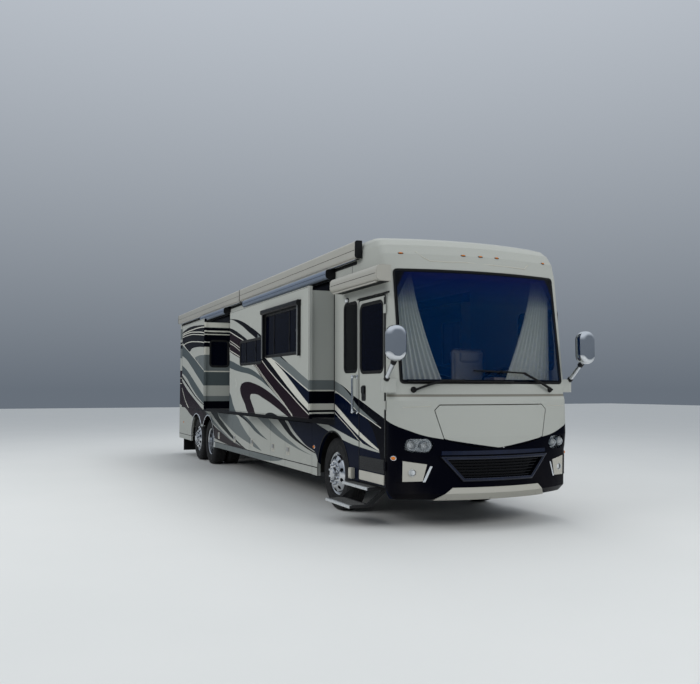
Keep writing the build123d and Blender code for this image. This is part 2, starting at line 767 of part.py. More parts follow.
def dual_wheels(x, side):
    """Both tyres and both rims of a drive wheel pair on one hub."""
    outer, inner = DUAL_Y
    middle = (outer + inner) / 2
    rims = rim(outer, side, -1) + rim(inner, side, 1)
    rims += spun(DUAL_HUB_PROFILE, middle, side)
    place = Pos(x, 0, TYRE_R)
    return [place * tyre(outer, side), place * tyre(inner, side)], place * rims


for side, word in ((-1, "right"), (1, "left")):
    for x, axle in ((0, "front"), (TAG_AXLE, "tag")):
        rubber, metal = single_wheel(x, side)
        write(f"{axle}_tyre_{word}", rubber)
        write(f"{axle}_rim_{word}", metal)
    rubber, metal = dual_wheels(DRIVE_AXLE, side)
    write(f"drive_tyres_{word}", *rubber)
    write(f"drive_rims_{word}", metal)

# Axles, steering knuckles and tie rod
AIR_SPRING_Y = 425
AIR_SPRING_R = 85
BEAM = (55, 890, 450, 560)
BEAM_WEB = 25
BEAM_FLANGE = 24
KINGPIN_EYE = (58, 150)
FORK = 62
FORK_BACK = (1050, 1078)
FORK_Z = (376, 428, 588, 640)
SPINDLE_Y = (1070, 1222)
DRIVE_TUBE = (72, 1780)
DRIVE_SHAFT = 2110
DIFFERENTIAL_R = 190
TAG_TUBE = (60, 2100)
TAG_SHAFT = 2444


def front_axle():
    """An I-section beam dropped between its kingpin eyes, with the air springs on it."""
    thick, reach, low, high = BEAM
    beam = block(-thick, thick, -reach, reach, low, high)
    pocket = (-reach + 30, reach - 30, low + BEAM_FLANGE, high - BEAM_FLANGE)
    beam -= block(BEAM_WEB, thick + 1, *pocket) + block(-thick - 1, -BEAM_WEB, *pocket)
    for side in (-1, 1):
        beam += Pos(0, side * KINGPIN_Y, TYRE_R) * Cylinder(*KINGPIN_EYE)
        y0, y1 = sorted((side * (reach - 10), side * (KINGPIN_Y - 20)))
        beam += block(-thick + 5, thick - 5, y0, y1, low, high)
        beam -= Pos(0, side * KINGPIN_Y, TYRE_R) * Cylinder(PIN_R + RUNNING, 400)
        beam += Pos(0, side * AIR_SPRING_Y, high + 70) * Cylinder(AIR_SPRING_R, 140)
    return beam


def knuckle(side):
    """A forked knuckle with its kingpin, spindle and steering arm."""
    low, low_top, high_foot, high = FORK_Z
    cheeks = (-FORK, FORK, KINGPIN_Y - FORK, FORK_BACK[1])
    fork = block(*cheeks, high_foot, high) + block(*cheeks, low, low_top)
    fork += block(-FORK, FORK, *FORK_BACK, low, high)
    fork += Pos(0, KINGPIN_Y, TYRE_R) * Cylinder(PIN_R, 230)
    start, end = SPINDLE_Y
    fork += Pos(0, (start + end) / 2, TYRE_R) * across(SPINDLE_R, end - start)
    fork += extrude(Pos(0, 0, low) * make_face(Polyline(*STEERING_ARM, close=True)), 28)
    return mirrored(fork) if side < 0 else fork


write("steering_knuckle_right", knuckle(-1))
write("steering_knuckle_left", knuckle(1))
tie = rod((TIE_ROD_X, -TIE_ROD_Y, TIE_ROD_Z), (TIE_ROD_X, TIE_ROD_Y, TIE_ROD_Z), 16)
for side in (-1, 1):
    tie += Pos(TIE_ROD_X, side * TIE_ROD_Y, TIE_ROD_Z) * Cylinder(26, 46)
write("tie_rod", tie)


def rear_axles():
    """The drive axle with its differential, and the plain tag axle behind it."""
    drive = across(*DRIVE_TUBE) + across(DRIVE_SPINDLE_R, DRIVE_SHAFT) + Sphere(DIFFERENTIAL_R)
    tag = across(*TAG_TUBE) + across(SPINDLE_R, TAG_SHAFT)
    for side in (-1, 1):
        spring = Pos(0, side * AIR_SPRING_Y, 112) * Cylinder(AIR_SPRING_R, 160)
        drive += spring
        tag += spring
    return Pos(DRIVE_AXLE, 0, TYRE_R) * drive, Pos(TAG_AXLE, 0, TYRE_R) * tag


write("axles_and_exhaust", front_axle(), *rear_axles(), exhaust())


# Entry steps on a pull-out frame


def entry_steps():
    """Two treads joined by a strut at each end to the carriage that runs under the floor."""
    y0, y1, z0, z1 = UPPER_TREAD
    upper = block(*STEP_X, y0, y1, z0, z1)
    y2, y3, z2, z3 = LOWER_TREAD
    lower = block(*STEP_X, y2, y3, z2, z3)
    shape = upper + lower + block(STEP_X[0] + 20, STEP_X[1] - 20, -1150, -1000, z0, z1 + 20)
    inner = y1 - STRUT
    outline = ((y3 - STRUT, z2), (y3, z2), (y1, z0), (y1, z1), (inner, z1), (inner, z0), (y3 - STRUT, z3))
    for x in (STEP_X[0], STEP_X[1] - 16):
        shape += front_profile(outline, x, x + 16)
    return shape


write("entry_steps", entry_steps())

# Mirrors and grab handle
GRAB_HANDLE = (870, 70, 1400, 1860)
GRAB_TUBE = (16, 32)
MIRROR_HEAD = (2192, 1375, 2235)
MIRROR_SIZE = (150, 250, 425)
MIRROR_ROUND = (112, 60)
MIRROR_TOE = 6
MIRROR_FOOT = (1760, 1905, 1200, 1395, 1655, 1825)
MIRROR_ARM = ((1850, 1350, 1780), (2165, 1365, 2070), 27)


def mirror_assembly():
    """A mirror head on its arm and foot, on the left side."""
    thick, width, height = MIRROR_SIZE
    corner, edge = MIRROR_ROUND
    head = extrude(Plane.YZ * RectangleRounded(width, height, corner), thick / 2, both=True)
    head = fillet(head.edges().filter_by(Plane.YZ), edge)
    head = Pos(*MIRROR_HEAD) * Rot(Z=MIRROR_TOE) * head
    foot = block(*MIRROR_FOOT)
    foot = fillet(foot.edges().filter_by(Axis.Z).sort_by(Axis.Y)[-2:], 55) - front_body()
    return head + foot + rod(*MIRROR_ARM)


def grab_handle():
    """A bent tube beside the entry door, both ends on the wall."""
    x, reach, low, high = GRAB_HANDLE
    ends = ((x, -HALF, low), (x, -HALF - reach, low), (x, -HALF - reach, high), (x, -HALF, high))
    tube, bend = GRAB_TUBE
    path = FilletPolyline(*ends, radius=bend)
    return sweep(Plane(ends[0], z_dir=(0, -1, 0)) * Circle(tube), path=path)


left_mirror = mirror_assembly()
write("mirrors_and_handle", left_mirror, mirrored(left_mirror), grab_handle())

# Wipers: parked across the foot of the glass
WIPER_PIVOT = ((2000, 900, 1690), (2110, 900, 1700), 24)
WIPER_ARM = ((2100, 900, 1700), (2162, 480, 1850), 12)
WIPER_BLADE = ((2145, 950, 1840), (2185, 50, 1860), 11)


def wiper(side):
    """One wiper: pivot on the cowl, arm, and blade along the foot of the glass."""
    shape = rod(*WIPER_PIVOT) + rod(*WIPER_ARM) + rod(*WIPER_BLADE) - front_body()
    return mirrored(shape) if side < 0 else shape


write("wipers_and_mud_flaps", wiper(-1), wiper(1), mud_flap(-1), mud_flap(1))

# Roof equipment
CROWN = 3676
COOLER_X = (-1200, -4700, -8600)
COOLER = (1050, 760, 230)
DISH = (-2600, 270, 145)
VENT_X = (-3500, -6600)
VENT = (210, 80)


def roof_equipment():
    """Air conditioners, a satellite dome and two vents, standing on the crown of the roof."""
    pieces = []
    length, width, height = COOLER
    for x in COOLER_X:
        unit = block(x - length / 2, x + length / 2, -width / 2, width / 2, CROWN, CROWN + height)
        unit = fillet(unit.edges().filter_by(Axis.Z), 120)
        unit = fillet(unit.faces().sort_by(Axis.Z)[-1].edges(), 50)
        pieces.append(unit)
    x, radius, height = DISH
    drum = Cylinder(radius, height, align=(Align.CENTER, Align.CENTER, Align.MIN))
    pieces.append(Pos(x, 0, CROWN) * (drum + Pos(0, 0, height) * scale(Sphere(radius), (1, 1, 0.5))))
    half, height = VENT
    for x in VENT_X:
        pieces.append(block(x - half, x + half, -half, half, CROWN, CROWN + height))
    return pieces


write("roof_units", *roof_equipment())

# Cab: dashboard, seats, steering wheel and curtains
WHEEL_CENTRE = (1290, 620, 1860)
WHEEL_TILTED = Pos(*WHEEL_CENTRE) * Rot(Y=-WHEEL_TILT)
CURTAIN = (900, 1190, 1810, 3150)
DASH_HALF = 1180
DASH = (
    (1350, 1620),
    (1420, 1760),
    (1700, 1780),
    (2080, 1740),
    (2080, DECK_Z),
    (1560, DECK_Z),
    (1480, 1500),
    (1380, 1540),
)
INSTRUMENTS = ((1330, 1600), (1400, 1850), (1620, 1850), (1700, 1760))
INSTRUMENTS_Y = (340, 900)
COLUMN = (48, 200)
COLUMN_BORE = (24 + RUNNING, 150)


def dashboard():
    """The moulded dashboard with its instrument hood, trimmed to the inside of the front body."""
    shape = side_profile(DASH, -DASH_HALF, DASH_HALF) + side_profile(INSTRUMENTS, *INSTRUMENTS_Y)
    shape -= block(0, WELL_X[1] + 20, -HALF, WELL_Y[1] + 20, DECK_Z, CURTAIN[3])
    shape += WHEEL_TILTED * Pos(0, 0, -170) * Cylinder(*COLUMN)
    shape -= WHEEL_TILTED * Pos(0, 0, -120) * Cylinder(*COLUMN_BORE)
    return shape & front_body(WALL + 6)


def overhead_cabinet():
    """The cabinet across the cab above the windscreen, against the inside of the cap."""
    return block(1480, 1900, -HALF + WALL, HALF - WALL, CURTAIN[3], 3430) & front_body(WALL)


write("cab_furniture", dashboard(), overhead_cabinet())


PEDESTAL = (760, 150, 260)
SEAT_Y = 620
SEAT_PADS = (
    (500, 1010, 255, 1440, 1580, 45),
    (430, 560, 245, 1500, 2150, 45),
    (430, 540, 150, 2120, 2340, 40),
)
ARM_REST = (540, 900, 30, 1660, 1720, 20)
ARM_REST_Y = 292
ARM_LINK = (500, 580, 300, 1670, 1710)


def pad(x0, x1, half, z0, z1, radius, y):
    """One rounded pad, centred at y."""
    return fillet(block(x0, x1, y - half, y + half, z0, z1).edges(), radius)


def seat(y):
    """One captain's chair: pedestal, cushion, back, head rest and arm rests."""
    x, radius, height = PEDESTAL
    shape = Pos(x, y, DECK_Z) * Cylinder(radius, height, align=(Align.CENTER, Align.CENTER, Align.MIN))
    for each in SEAT_PADS:
        shape += pad(*each, y)
    for side in (-1, 1):
        shape += pad(*ARM_REST, y + side * ARM_REST_Y)
    x0, x1, half, z0, z1 = ARM_LINK
    return shape + block(x0, x1, y - half, y + half, z0, z1)


write("cab_seats", seat(-SEAT_Y), seat(SEAT_Y))

STEERING_RIM = (215, 15)
STEERING_BOSS = (60, 40)
SPOKE = (420, 36, 18)
STEERING_SHAFT = (24, 170)


def steering_wheel():
    """Rim, two spokes and boss, square to its column."""
    length, width, thick = SPOKE
    shape = Torus(*STEERING_RIM) + Cylinder(*STEERING_BOSS)
    shape += Box(length, width, thick) + Box(width, length, thick)
    shape += Pos(0, 0, -100) * Cylinder(*STEERING_SHAFT)
    return WHEEL_TILTED * shape


write("steering_wheel", steering_wheel())


def curtain(side):
    """A drawn-back windscreen curtain beside the pillar."""
    y0, y1, z0, z1 = CURTAIN
    shape = block(1640, 1730, y0, y1, z0, z1) & front_body(WALL + 8)
    return mirrored(shape) if side < 0 else shape


write("curtains", curtain(-1), curtain(1))
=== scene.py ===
import math
import random

import bmesh
import bpy
from mathutils import Euler, Matrix, Vector


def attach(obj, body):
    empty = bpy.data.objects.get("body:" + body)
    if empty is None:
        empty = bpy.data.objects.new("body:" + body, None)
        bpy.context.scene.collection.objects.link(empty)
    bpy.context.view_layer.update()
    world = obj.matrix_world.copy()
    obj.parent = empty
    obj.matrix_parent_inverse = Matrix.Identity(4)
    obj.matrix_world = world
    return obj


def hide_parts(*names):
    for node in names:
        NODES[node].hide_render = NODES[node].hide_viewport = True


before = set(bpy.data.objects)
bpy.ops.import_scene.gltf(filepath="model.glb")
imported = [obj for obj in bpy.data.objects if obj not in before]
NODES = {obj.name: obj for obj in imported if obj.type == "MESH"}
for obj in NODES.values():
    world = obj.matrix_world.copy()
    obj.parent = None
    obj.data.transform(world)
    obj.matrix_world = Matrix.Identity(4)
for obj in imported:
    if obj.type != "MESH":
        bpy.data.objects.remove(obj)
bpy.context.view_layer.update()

# Places along the coach are measured from the front axle, forward positive, as in the CAD
AXLE = 4.345
# sides of the walls and of the slide-outs' faces, and the station of the rear face
HALF = 1.289
MID_FACE, DEEP_FACE = HALF + 0.39, HALF + 0.55
REAR = -10.97
# stations of the drive and tag axles, sides of single, outer and inner tyres
DRIVE, TAG = -7.59, -8.8
SINGLE_Y, OUTER_Y, INNER_Y = 1.093, 1.095, 0.765
# height of the hubs, radius of the wheel arches and of the ring of lug nuts
HUB, ARCH, NUT_RING = 0.508, 0.59, 0.1428
SIDES = ((-1, "right"), (1, "left"))
random.seed(11)


def add(name, data):
    """A new object, placed in the scene."""
    made = bpy.data.objects.new(name, data)
    bpy.context.scene.collection.objects.link(made)
    return made


def as_mesh(name, bm):
    """The mesh of a finished bmesh, shaded smooth."""
    mesh = bpy.data.meshes.new(name)
    bm.to_mesh(mesh)
    bm.free()
    mesh.polygons.foreach_set("use_smooth", [True] * len(mesh.polygons))
    return mesh


# Camera, floor and light

def camera():
    """The photograph's eye point and angle of view."""
    data = bpy.data.cameras.new("eye")
    data.lens = 41.21
    data.sensor_width = 36
    eye = add("eye", data)
    eye.location = (14.901, -5.538, 1.699)
    eye.rotation_euler = Euler((math.radians(90 + 3.353), 0, math.radians(156.819 - 90)))
    bpy.context.scene.camera = eye


def softbox(name, place, target, size, power):
    """A large rectangular lamp that looks at a point and leaves no hard-edged reflection."""
    data = bpy.data.lights.new(name, "AREA")
    data.shape = "RECTANGLE"
    data.size, data.size_y = size
    data.energy = power
    lamp = add(name, data)
    lamp.location = place
    lamp.rotation_euler = (Vector(target) - Vector(place)).to_track_quat("-Z", "Y").to_euler()
    lamp.visible_glossy = False


def studio():
    """A pale floor, an even pale surround and three soft lamps."""
    bm = bmesh.new()
    bmesh.ops.create_grid(bm, x_segments=1, y_segments=1, size=60)
    floor = add("floor", as_mesh("floor", bm))
    floor.data.materials.append(bare_floor())
    world = bpy.data.worlds.new("studio")
    world.use_nodes = True
    tree = world.node_tree
    apart = tree.nodes.new("ShaderNodeSeparateXYZ")
    rise = tree.nodes.new("ShaderNodeValToRGB")
    tree.links.new(tree.nodes.new("ShaderNodeTexCoord").outputs["Generated"], apart.inputs[0])
    tree.links.new(apart.outputs[2], rise.inputs[0])
    tree.links.new(rise.outputs[0], tree.nodes["Background"].inputs["Color"])
    rise.color_ramp.elements[0].color = (0.17, 0.2, 0.24, 1)
    rise.color_ramp.elements[1].color = (0.86, 0.92, 1.0, 1)
    rise.color_ramp.elements[1].position = 0.7
    tree.nodes["Background"].inputs["Strength"].default_value = 0.8
    bpy.context.scene.world = world
    bpy.context.scene.view_settings.view_transform = "Standard"
    softbox("front_light", (17, 4, 8), (5, 0, 1.6), (9, 5), 720)
    softbox("side_light", (3, -15, 9), (0, -1, 1.4), (16, 5), 1050)
    softbox("top_light", (-2, 2, 13), (-2, 0, 2), (18, 6), 850)


# Materials

def tone(red, green, blue):
    """A colour as it shows on screen, turned into the renderer's linear values."""
    def linear(c):
        return c / 255 / 12.92 if c < 11 else ((c / 255 + 0.055) / 1.055) ** 2.4

    return linear(red), linear(green), linear(blue), 1


def dim(colour, share):
    """A darker tone of a colour."""
    return tuple(c * share for c in colour[:3]) + (1,)


CHAMPAGNE = tone(162, 164, 158)
PALE = tone(193, 192, 182)
GREY = tone(101, 107, 107)
SLATE = tone(72, 80, 82)
NAVY = tone(4, 12, 32)
GREEN_BLACK = tone(8, 20, 22)
BLACK = tone(4, 5, 13)
MAROON = tone(24, 11, 20)


class Shade:
    """One node material: each call adds a node and gives back its output."""

    def __init__(self, name, roughness=0.5, metallic=0.0):
        self.material = bpy.data.materials.new(name)
        self.material.use_nodes = True
        self.tree = self.material.node_tree
        self.shader = self.tree.nodes["Principled BSDF"]
        self.set("Roughness", roughness)
        self.set("Metallic", metallic)
        self.place = self.tree.nodes.new("ShaderNodeTexCoord").outputs["Object"]

    def link(self, value, socket):
        """A number or colour goes onto the socket, an output is joined to it."""
        if isinstance(value, bpy.types.NodeSocket):
            self.tree.links.new(value, socket)
        else:
            socket.default_value = value

    def set(self, socket, value):
        self.link(value, self.shader.inputs[socket])

    def node(self, kind, inputs, output=0, **settings):
        made = self.tree.nodes.new(kind)
        for key, value in settings.items():
            setattr(made, key, value)
        for socket, value in inputs.items():
            self.link(value, made.inputs[socket])
        return made.outputs[output]

    def math(self, operation, *values):
        return self.node("ShaderNodeMath", dict(enumerate(values)), operation=operation)

    def above(self, value, limit):
        return self.math("GREATER_THAN", value, limit)

    def below(self, value, limit):
        return self.math("LESS_THAN", value, limit)

    def times(self, first, second):
        return self.math("MULTIPLY", first, second)

    def size(self, value):
        return self.math("ABSOLUTE", value)

    def mix(self, share, first, second):
        return self.node("ShaderNodeMix", {0: share, 6: first, 7: second}, 2, data_type="RGBA")

    def noise(self, scale, detail=4.0):
        return self.node("ShaderNodeTexNoise", {"Vector": self.place, "Scale": scale, "Detail": detail})

    def between(self, value, low, high, to_low=0.0, to_high=1.0):
        return self.node("ShaderNodeMapRange", {0: value, 1: low, 2: high, 3: to_low, 4: to_high})

    def bump(self, height, distance, strength=1.0):
        """Relief of so many metres, joined to what came before."""
        before = self.shader.inputs["Normal"]
        inputs = {"Height": height, "Distance": distance, "Strength": strength}
        if before.is_linked:
            inputs["Normal"] = before.links[0].from_socket
        self.link(self.node("ShaderNodeBump", inputs), before)

    def axes(self):
        """The three coordinates, with the first as a station from the front axle."""
        apart = self.tree.nodes.new("ShaderNodeSeparateXYZ")
        self.link(self.place, apart.inputs[0])
        x, y, z = apart.outputs
        return self.math("SUBTRACT", x, AXLE), y, z

    def edge(self, along, run):
        """A smooth line through a run of stations and heights, as a height at each station."""
        points = pairs(run)
        first, last = points[0][0], points[-1][0]
        low = min(z for _, z in points)
        high = max(z for _, z in points) + 0.001
        curve = self.tree.nodes.new("ShaderNodeFloatCurve")
        self.link(self.between(along, first, last), curve.inputs["Value"])
        line = curve.mapping.curves[0]
        while len(line.points) < len(points):
            line.points.new(0.5, 0.5)
        for dot, (x, z) in zip(line.points, points):
            dot.location = ((x - first) / (last - first), (z - low) / (high - low))
        curve.mapping.update()
        return self.between(curve.outputs[0], 0, 1, low, high)

    def band(self, colour, along, height, paint, upper, lower):
        """A stripe of paint between two lines that share their first and last stations."""
        first, last = upper[0], upper[-2]
        inside = self.below(height, self.edge(along, upper))
        inside = self.times(inside, self.above(height, self.edge(along, lower)))
        inside = self.times(inside, self.above(along, first))
        inside = self.times(inside, self.below(along, last))
        return self.mix(inside, colour, paint)


def bare_floor():
    """Smooth pale paint."""
    shade = Shade("floor_paint", roughness=0.7)
    shade.set("Base Color", shade.mix(shade.noise(0.5), tone(202, 203, 200), tone(208, 208, 205)))
    shade.bump(shade.noise(30), 0.001, 0.2)
    return shade.material


def pairs(run):
    """A run of numbers as (station, height) points."""
    return list(zip(run[::2], run[1::2]))


def moved(run, change):
    """A run of numbers with each of its points changed."""
    return [value for point in pairs(run) for value in change(*point)]


def pin(run, width=0.014):
    """The two edges of a pinstripe below a line."""
    return run, moved(run, lambda x, z: (x, z - width))


def straight(paint, rear, front, top, foot, *side):
    """A stripe that runs level."""
    return (paint, (rear, top, front, top), (rear, foot, front, foot), *side)


# Stripes as (paint, upper edge, lower edge), each laid over the ones before it, and with its side where it is
# on one side only. An edge gives station and height in turn.
FRONT_EDGE = (
    0.3, 1.765, 0.49, 1.708, 0.71, 1.623, 1.0, 1.542, 1.34, 1.442, 1.71, 1.335,
    1.94, 1.267, 2.11, 1.222, 2.46, 1.135, 2.78, 1.09, 3.55, 0.985,
)
BODY_STRIPES = (
    # the dark rear quarter, its foot sweeping down to the skirt
    (MAROON,
     (-14, 2.2, -9.5, 2.12, -8.0, 1.9, -6.9, 1.5, -6.0, 1.3, -4.37, 0.96),
     (-14, 1.5, -10.4, 1.25, -9.4, 1.04, -8.15, 0.86, -7.0, 0.62, -4.37, 0.52)),
    (CHAMPAGNE,
     (-8.2, 4, -4.3, 4),
     (-8.2, 1.3, -7.91, 1.187, -7.54, 1.059, -7.01, 0.889, -6.2, 0.756, -5.31, 0.637, -4.3, 0.54)),
    # bands behind the rear slide-out
    (BLACK,
     (-14, 2.9, -10.8, 2.93, -10.2, 3.03, -9.4, 3.07, -7.83, 3.03, -5.6, 2.98),
     (-14, 2.6, -10.8, 2.6, -10.2, 2.62, -9.4, 2.62, -7.83, 2.58, -5.6, 2.55)),
    (PALE, *pin((-14, 2.86, -10.8, 2.88, -10.2, 2.97, -9.4, 3.01, -7.83, 2.97, -5.6, 2.93), 0.02)),
    (PALE, *pin((-14, 2.75, -10.8, 2.75, -10.2, 2.8, -9.4, 2.82, -7.83, 2.78, -5.6, 2.74), 0.02)),
    (GREY,
     (-14, 3.3, -10.97, 3.3, -9.5, 3.08, -8.02, 2.741, -7.33, 2.568, -5.6, 2.05),
     (-14, 3.02, -10.97, 3.02, -9.5, 2.84, -8.02, 2.48, -7.33, 2.33, -5.6, 1.75)),
    (GREY,
     (-14, 2.78, -10.97, 2.78, -9.5, 2.62, -8.0, 2.267, -7.33, 2.1, -5.6, 1.55),
     (-14, 2.52, -10.97, 2.52, -9.5, 2.4, -8.0, 2.08, -7.33, 1.92, -5.6, 1.4)),
    (PALE, *pin((-14, 2.0, -10.97, 2.0, -9.5, 1.92, -8.5, 1.72, -7.6, 1.4, -6.9, 1.14, -6.4, 0.93), 0.016)),
    (PALE, *pin((-14, 1.86, -10.97, 1.86, -9.5, 1.77, -8.6, 1.56, -7.8, 1.26, -7.1, 1.0, -6.5, 0.84), 0.016)),
    # the skirt, rear to front
    (GREY,
     (-7.9, 1.2, -7.44, 1.1, -6.77, 0.93, -6.05, 0.765, -5.16, 0.61, -4.4, 0.545),
     (-7.9, 1.187, -7.44, 1.02, -6.77, 0.86, -6.05, 0.725, -5.16, 0.602, -4.4, 0.544)),
    (GREEN_BLACK,
     (-6.7, 1.22, -6.64, 1.127, -6.1, 0.952, -5.55, 0.789, -5.03, 0.66, -4.42, 0.547),
     (-6.7, 0.98, -6.63, 0.957, -5.99, 0.805, -5.31, 0.668, -4.76, 0.582, -4.42, 0.547)),
    (GREEN_BLACK,
     (-7.36, 1.19, -7.2, 1.19, -6.95, 1.19, -6.7, 1.19),
     (-7.36, 1.185, -7.25, 1.149, -6.95, 1.05, -6.7, 0.98)),
    (GREY,
     (-6.75, 1.19, -5.3, 1.19, -5.09, 1.149, -4.77, 1.006,
      -4.42, 0.869, -4.09, 0.761, -3.73, 0.671, -3.39, 0.583),
     (-6.75, 1.185, -6.58, 1.129, -5.8, 0.927, -5.22, 0.806,
      -4.68, 0.728, -4.17, 0.666, -3.77, 0.613, -3.39, 0.583)),
    (SLATE,
     (-5.0, 1.2, -4.45, 1.16, -4.26, 1.118, -3.74, 0.97, -3.36, 0.868, -3.06, 0.807),
     (-5.0, 1.198, -4.78, 1.159, -4.26, 1.038, -3.81, 0.911, -3.35, 0.836, -3.06, 0.804)),
    (BLACK,
     (-5.0, 1.205, -4.6, 1.15, -4.26, 1.06, -4.0, 0.98),
     (-5.0, 1.18, -4.6, 1.11, -4.26, 1.04, -4.0, 0.979)),
    (GREY,
     (-3.75, 1.195, -3.1, 1.19, -2.86, 1.125, -2.48, 1.016,
      -2.09, 0.915, -1.73, 0.838, -1.36, 0.766, -0.8, 0.7),
     (-3.75, 1.19, -3.55, 1.143, -3.03, 1.012, -2.55, 0.911,
      -2.09, 0.835, -1.7, 0.782, -1.36, 0.742, -0.8, 0.699)),
    (BLACK,
     (-2.55, 1.21, -2.2, 1.21, -2.07, 1.16, -1.73, 0.993, -1.36, 0.879, -0.9, 0.79, -0.5, 0.73),
     (-2.55, 1.2, -2.42, 1.157, -2.06, 1.016, -1.7, 0.907, -1.36, 0.841, -0.9, 0.765, -0.5, 0.725)),
    # navy from the second bay forward, under everything at the front
    (NAVY,
     (-2.1, 1.26, 0.1, 1.64, 0.4, 1.6, 3.9, 1.6),
     (-2.1, 1.24, -1.94, 1.169, -1.67, 1.034, -1.37, 0.925, -1.04, 0.825, -0.72, 0.77, -0.4, 0.52, 3.9, 0.2)),
    (CHAMPAGNE,
     (-1.1, 1.25, -0.71, 1.247, -0.44, 1.224, -0.09, 1.174, 0.49, 1.08, 1.05, 0.995, 1.67, 0.912),
     (-1.1, 1.245, -0.79, 1.211, -0.44, 1.149, -0.09, 1.085, 0.41, 1.0, 0.91, 0.948, 1.67, 0.908)),
    (PALE,
     (-0.2, 1.6, 0.1, 1.485, 0.45, 1.343, 0.77, 1.21, 1.14, 1.08, 1.67, 0.912),
     (-0.2, 1.53, 0.09, 1.413, 0.45, 1.266, 0.77, 1.143, 1.14, 1.02, 1.67, 0.908)),
    (PALE, *pin((-0.2, 1.49, 0.09, 1.373, 0.33, 1.279, 0.54, 1.2, 0.94, 1.035, 1.05, 0.993), 0.012)),
    (CHAMPAGNE,
     (0.0, 4, 3.9, 4),
     (0.0, 1.77, 0.3, 1.7, 0.71, 1.56, 1.34, 1.38, 1.94, 1.2, 2.46, 1.07, 3.9, 0.9)),
    (BLACK, FRONT_EDGE, (0.3, 1.76, 0.71, 1.55, 1.2, 1.3, 1.34, 1.2, 1.5, 1.0, 2.0, 0.3, 3.55, 0.2)),
    (GREY,
     (-0.2, 1.9, 0.1, 1.811, 0.31, 1.757, 0.65, 1.61, 0.88, 1.482, 1.18, 1.374, 1.49, 1.272),
     (-0.2, 1.74, 0.12, 1.664, 0.62, 1.511, 0.84, 1.414, 1.28, 1.304, 1.49, 1.268)),
    (PALE, *pin((-0.2, 1.75, 0.12, 1.672, 0.62, 1.519, 0.84, 1.424, 1.28, 1.308, 1.6, 1.225), 0.012)),
    # painted shade: a black band on the wall under the slide-outs and black shadow gaps over them, and painted
    # shade in the crease along the cowl
    straight(BLACK, -8.9, 0.09, 1.3, 1.186, -1),
    straight(BLACK, -8.9, -0.38, 1.3, 1.186, 1),
    straight(BLACK, -7.87, -5.66, 3.25, 3.08, -1),
    straight(BLACK, -4.23, 0.1, 3.25, 3.08, -1),
    straight(BLACK, -8.94, -0.36, 3.25, 3.08, 1),
    # painted shade: a darker band in the crease along the cowl
    straight(tone(118, 116, 108), 1.76, 5.4, 1.634, 1.604),
    # the skirt under its trim line
    straight(CHAMPAGNE, -14, -0.6, 0.535, 0),
    (GREY, (-6.9, 0.535, -2.2, 0.535), (-6.9, 0.3, -5.5, 0.36, -4.5, 0.396, -2.96, 0.446, -2.2, 0.53)),
    straight(BLACK, -14, -0.6, 0.546, 0.532),
)
SWEEP = (
    -4.3, 2.86, -3.9, 2.789, -3.45, 2.678, -3.03, 2.562, -2.15, 2.27,
    -1.76, 2.132, -1.24, 1.909, -0.75, 1.703, -0.35, 1.547, 0.1, 1.395,
)
